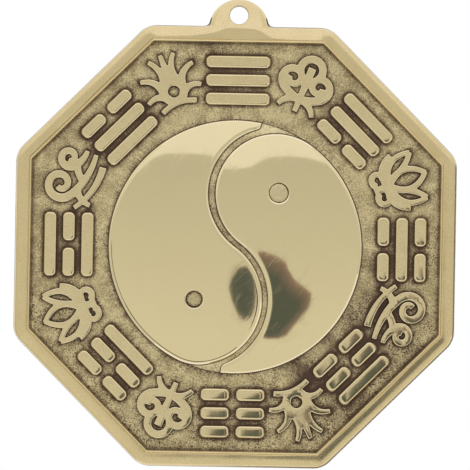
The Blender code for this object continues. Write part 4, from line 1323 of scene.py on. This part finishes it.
bpy.ops.object.select_all(action="DESELECT")
bpy.ops.mesh.primitive_cylinder_add(
    vertices=128,
    radius=FLOOR_RADIUS,
    depth=FLOOR_THICK,
    location=(0, 0, FLOOR_HEIGHT - FLOOR_THICK / 2),
)
floor = bpy.context.object
floor.name = floor.data.name = "floor"
paint = bpy.data.materials.new("pale_floor")
paint.use_nodes = True
coat = paint.node_tree.nodes["Principled BSDF"].inputs
coat["Base Color"].default_value = FLOOR_COLOUR
coat["Roughness"].default_value = 0.7
floor.data.materials.append(paint)
floor.visible_glossy = False


def seen(distance, right, up):
    """The spot at a distance in front that lies so many degrees right of and above the middle."""
    return Vector((distance * math.tan(math.radians(right)), -distance,
                   MIDDLE_HEIGHT + distance * math.tan(math.radians(up))))


def card(name, rings, glow):
    """A glowing card that only reflections see, from rings of points, the outermost first.

    Its shade attribute runs from 0 on the outermost ring to 1 on the innermost.
    """
    mesh = bmesh.new()
    shade = []
    loops = []
    for number, ring in enumerate(rings):
        loops.append([mesh.verts.new(spot) for spot in ring])
        shade += [number / max(1, len(rings) - 1)] * len(ring)
    for outer, inner in zip(loops, loops[1:]):
        for i in range(len(outer)):
            j = (i + 1) % len(outer)
            mesh.faces.new((outer[i], outer[j], inner[j], inner[i]))
    mesh.faces.new(loops[-1])
    panel = mesh_object(name, mesh)
    panel.data.attributes.new("shade", "FLOAT", "POINT").data.foreach_set("value", shade)
    panel.data.materials.append(glow)
    panel.visible_camera = False
    panel.visible_diffuse = False
    panel.visible_shadow = False


def glowing(name, colour, strength, cover=None):
    """A material that only glows, with a colour and a strength as values or read from its nodes.

    Cover, where it is given, runs from 0 where the card is clear to 1 where it isn't.
    """
    glow = bpy.data.materials.new(name)
    glow.use_nodes = True
    tree = glow.node_tree
    tree.nodes.clear()
    colour, strength = (value(tree) if callable(value) else value for value in (colour, strength))
    lit = wire(tree, "Emission", {"Color": colour, "Strength": strength}).outputs[0]
    if cover:
        clear = wire(tree, "BsdfTransparent").outputs[0]
        lit = wire(tree, "MixShader", {0: cover(tree), 1: clear, 2: lit}).outputs[0]
    wire(tree, "OutputMaterial", {"Surface": lit})
    return glow


def by_height(foot, top, foot_light, top_light):
    """A strength that changes with the height above the plaque's middle."""

    def strength(tree):
        up = wire(tree, "SeparateXYZ", {0: wire(tree, "TexCoord").outputs["Object"]}).outputs[2]
        return ranged(tree, up, MIDDLE_HEIGHT + foot, MIDDLE_HEIGHT + top, foot_light, top_light)

    return strength


# The front card in degrees right and up, a little brighter towards its foot
FRONT_CARD = (
    (-52, -60), (52, -60), (52, 9), (37, 12), (33, 18), (30.7, 21.4), (26.8, 24.5), (20.2, 25.8),
    (15.2, 25.6), (9.8, 25.0), (7.0, 23.6), (4.3, 22.3), (0.4, 21.9), (-3.4, 21.6), (-5.9, 24.9),
    (-8.3, 25.6), (-16.4, 26.0), (-20.8, 26.2), (-25.1, 24.8), (-29.0, 21.2), (-31.3, 18.9),
    (-33.4, 15.3), (-37, 13), (-52, 10),
)
front_glow = glowing("front_card", CARD_COLOUR, by_height(-0.5, 0.4, CARD_FOOT_LIGHT, CARD_TOP_LIGHT))
card("front_card", [[seen(CARD_DISTANCE, right, up) for right, up in FRONT_CARD]], front_glow)

# The camera's body and its lens, as two soft dark shapes with a reddish fringe: how far their
# dark middle is moved, how large its rings are, and their outline in degrees right and up
CAMERA_SHAPES = (
    ("camera_body", (-2.3, -2.6), (0.92, 0.74), (
        (6.9, -1.2), (8.6, -1.2), (11.6, -2.4), (14.1, -4.2), (14.9, -6.3), (16.7, -8.9),
        (19.7, -11.0), (22.1, -13.2), (22.4, -15.3), (21.6, -17.8), (19.7, -20.2), (17.8, -22.6),
        (16.4, -24.5), (13.9, -25.6), (9.7, -25.8), (7.8, -22), (8.0, -16), (8.0, -10), (7.4, -5),
    )),
    ("camera_lens", (0, 0), (0.96, 0.90), (
        (-1.1, -11.6), (-0.3, -8.6), (1.2, -6.4), (2.9, -5.7), (4.7, -6.7), (5.9, -9.2),
        (6.3, -13.6), (5.8, -17.6), (4.7, -19.7), (3.5, -20.5), (2.0, -19.9), (0.6, -18.1),
        (-0.6, -15.3),
    )),
)


def shade_between(tree, low, high, **settings):
    """How far inside a card a spot lies, from its shade attribute."""
    shade = wire(tree, "Attribute", attribute_name="shade").outputs["Fac"]
    return ranged(tree, shade, low, high, **settings)


def camera_colour(tree):
    return mixed(tree, shade_between(tree, 0.3, 1.0), CAMERA_FRINGE, CAMERA_DARK)


def camera_cover(tree):
    return shade_between(tree, 0.0, 0.4, interpolation_type="SMOOTHSTEP")


camera_glow = glowing("camera_glow", camera_colour, 1.0, camera_cover)
for name, (right, up), (middle, inner), outline in CAMERA_SHAPES:
    edge = [seen(CAMERA_DISTANCE, *spot) for spot in outline]
    centre = sum(edge, Vector()) / len(edge)
    shift = seen(CAMERA_DISTANCE, right, up) - seen(CAMERA_DISTANCE, 0, 0)
    card(name, [[centre + shift * share + (spot - centre) * scale for spot in edge]
                for scale, share in ((1.03, 0), (1.0, 0.1), (middle, 0.5), (inner, 1))], camera_glow)


def upright(x, near, far, foot, top):
    """The corners of a card that stands at the side."""
    corners = ((near, foot), (far, foot), (far, top), (near, top))
    return [Vector((x, y, MIDDLE_HEIGHT + z)) for y, z in corners]


# Grey side walls of the room, brighter above
WALL_LIGHT = 0.68
WALL_TOP_LIGHT = 0.86
wall_glow = glowing("side_wall", CARD_COLOUR, by_height(0, 0.8, WALL_LIGHT, WALL_TOP_LIGHT))
card("left_wall", [upright(-1.2, -1.6, 0.3, -1.5, 1.6)], wall_glow)
card("right_wall", [upright(1.2, -1.6, 0.3, -0.25, 1.6)], wall_glow)

# Dark corners of the room beside and below, a little behind the plaque
corner_glow = glowing("dark_corner", CORNER_DARK, 1.0)
card("dark_side", [upright(0.5, 0.05, 0.9, -0.6, 0.1)], corner_glow)
dark_foot = [Vector((x, y, MIDDLE_HEIGHT - 0.5)) for x, y in ((0, 0.05), (0.6, 0.05), (0.6, 0.9), (0, 0.9))]
card("dark_foot", [dark_foot], corner_glow)

# Camera
# A long lens square in front of the plaque and turned a little, as in the photograph.
LENS = 300
SENSOR_WIDTH = 36
PICTURE_WIDTH = 159.33 * MM
AIM = Vector((-0.12 * MM, -6 * MM, MIDDLE_HEIGHT + 4.03 * MM))
ROLL = math.radians(-1.0)
camera_data = bpy.data.cameras.new("camera")
camera_data.lens = LENS
camera_data.sensor_width = SENSOR_WIDTH
camera_data.clip_start = 0.05
camera_data.clip_end = 20
camera = bpy.data.objects.new("camera", camera_data)
bpy.context.scene.collection.objects.link(camera)
camera.location = AIM - Vector((0, PICTURE_WIDTH * LENS / SENSOR_WIDTH, 0))
camera.rotation_euler = (math.pi / 2, ROLL, 0)
bpy.context.scene.camera = camera
bpy.context.scene.view_settings.view_transform = "Standard"
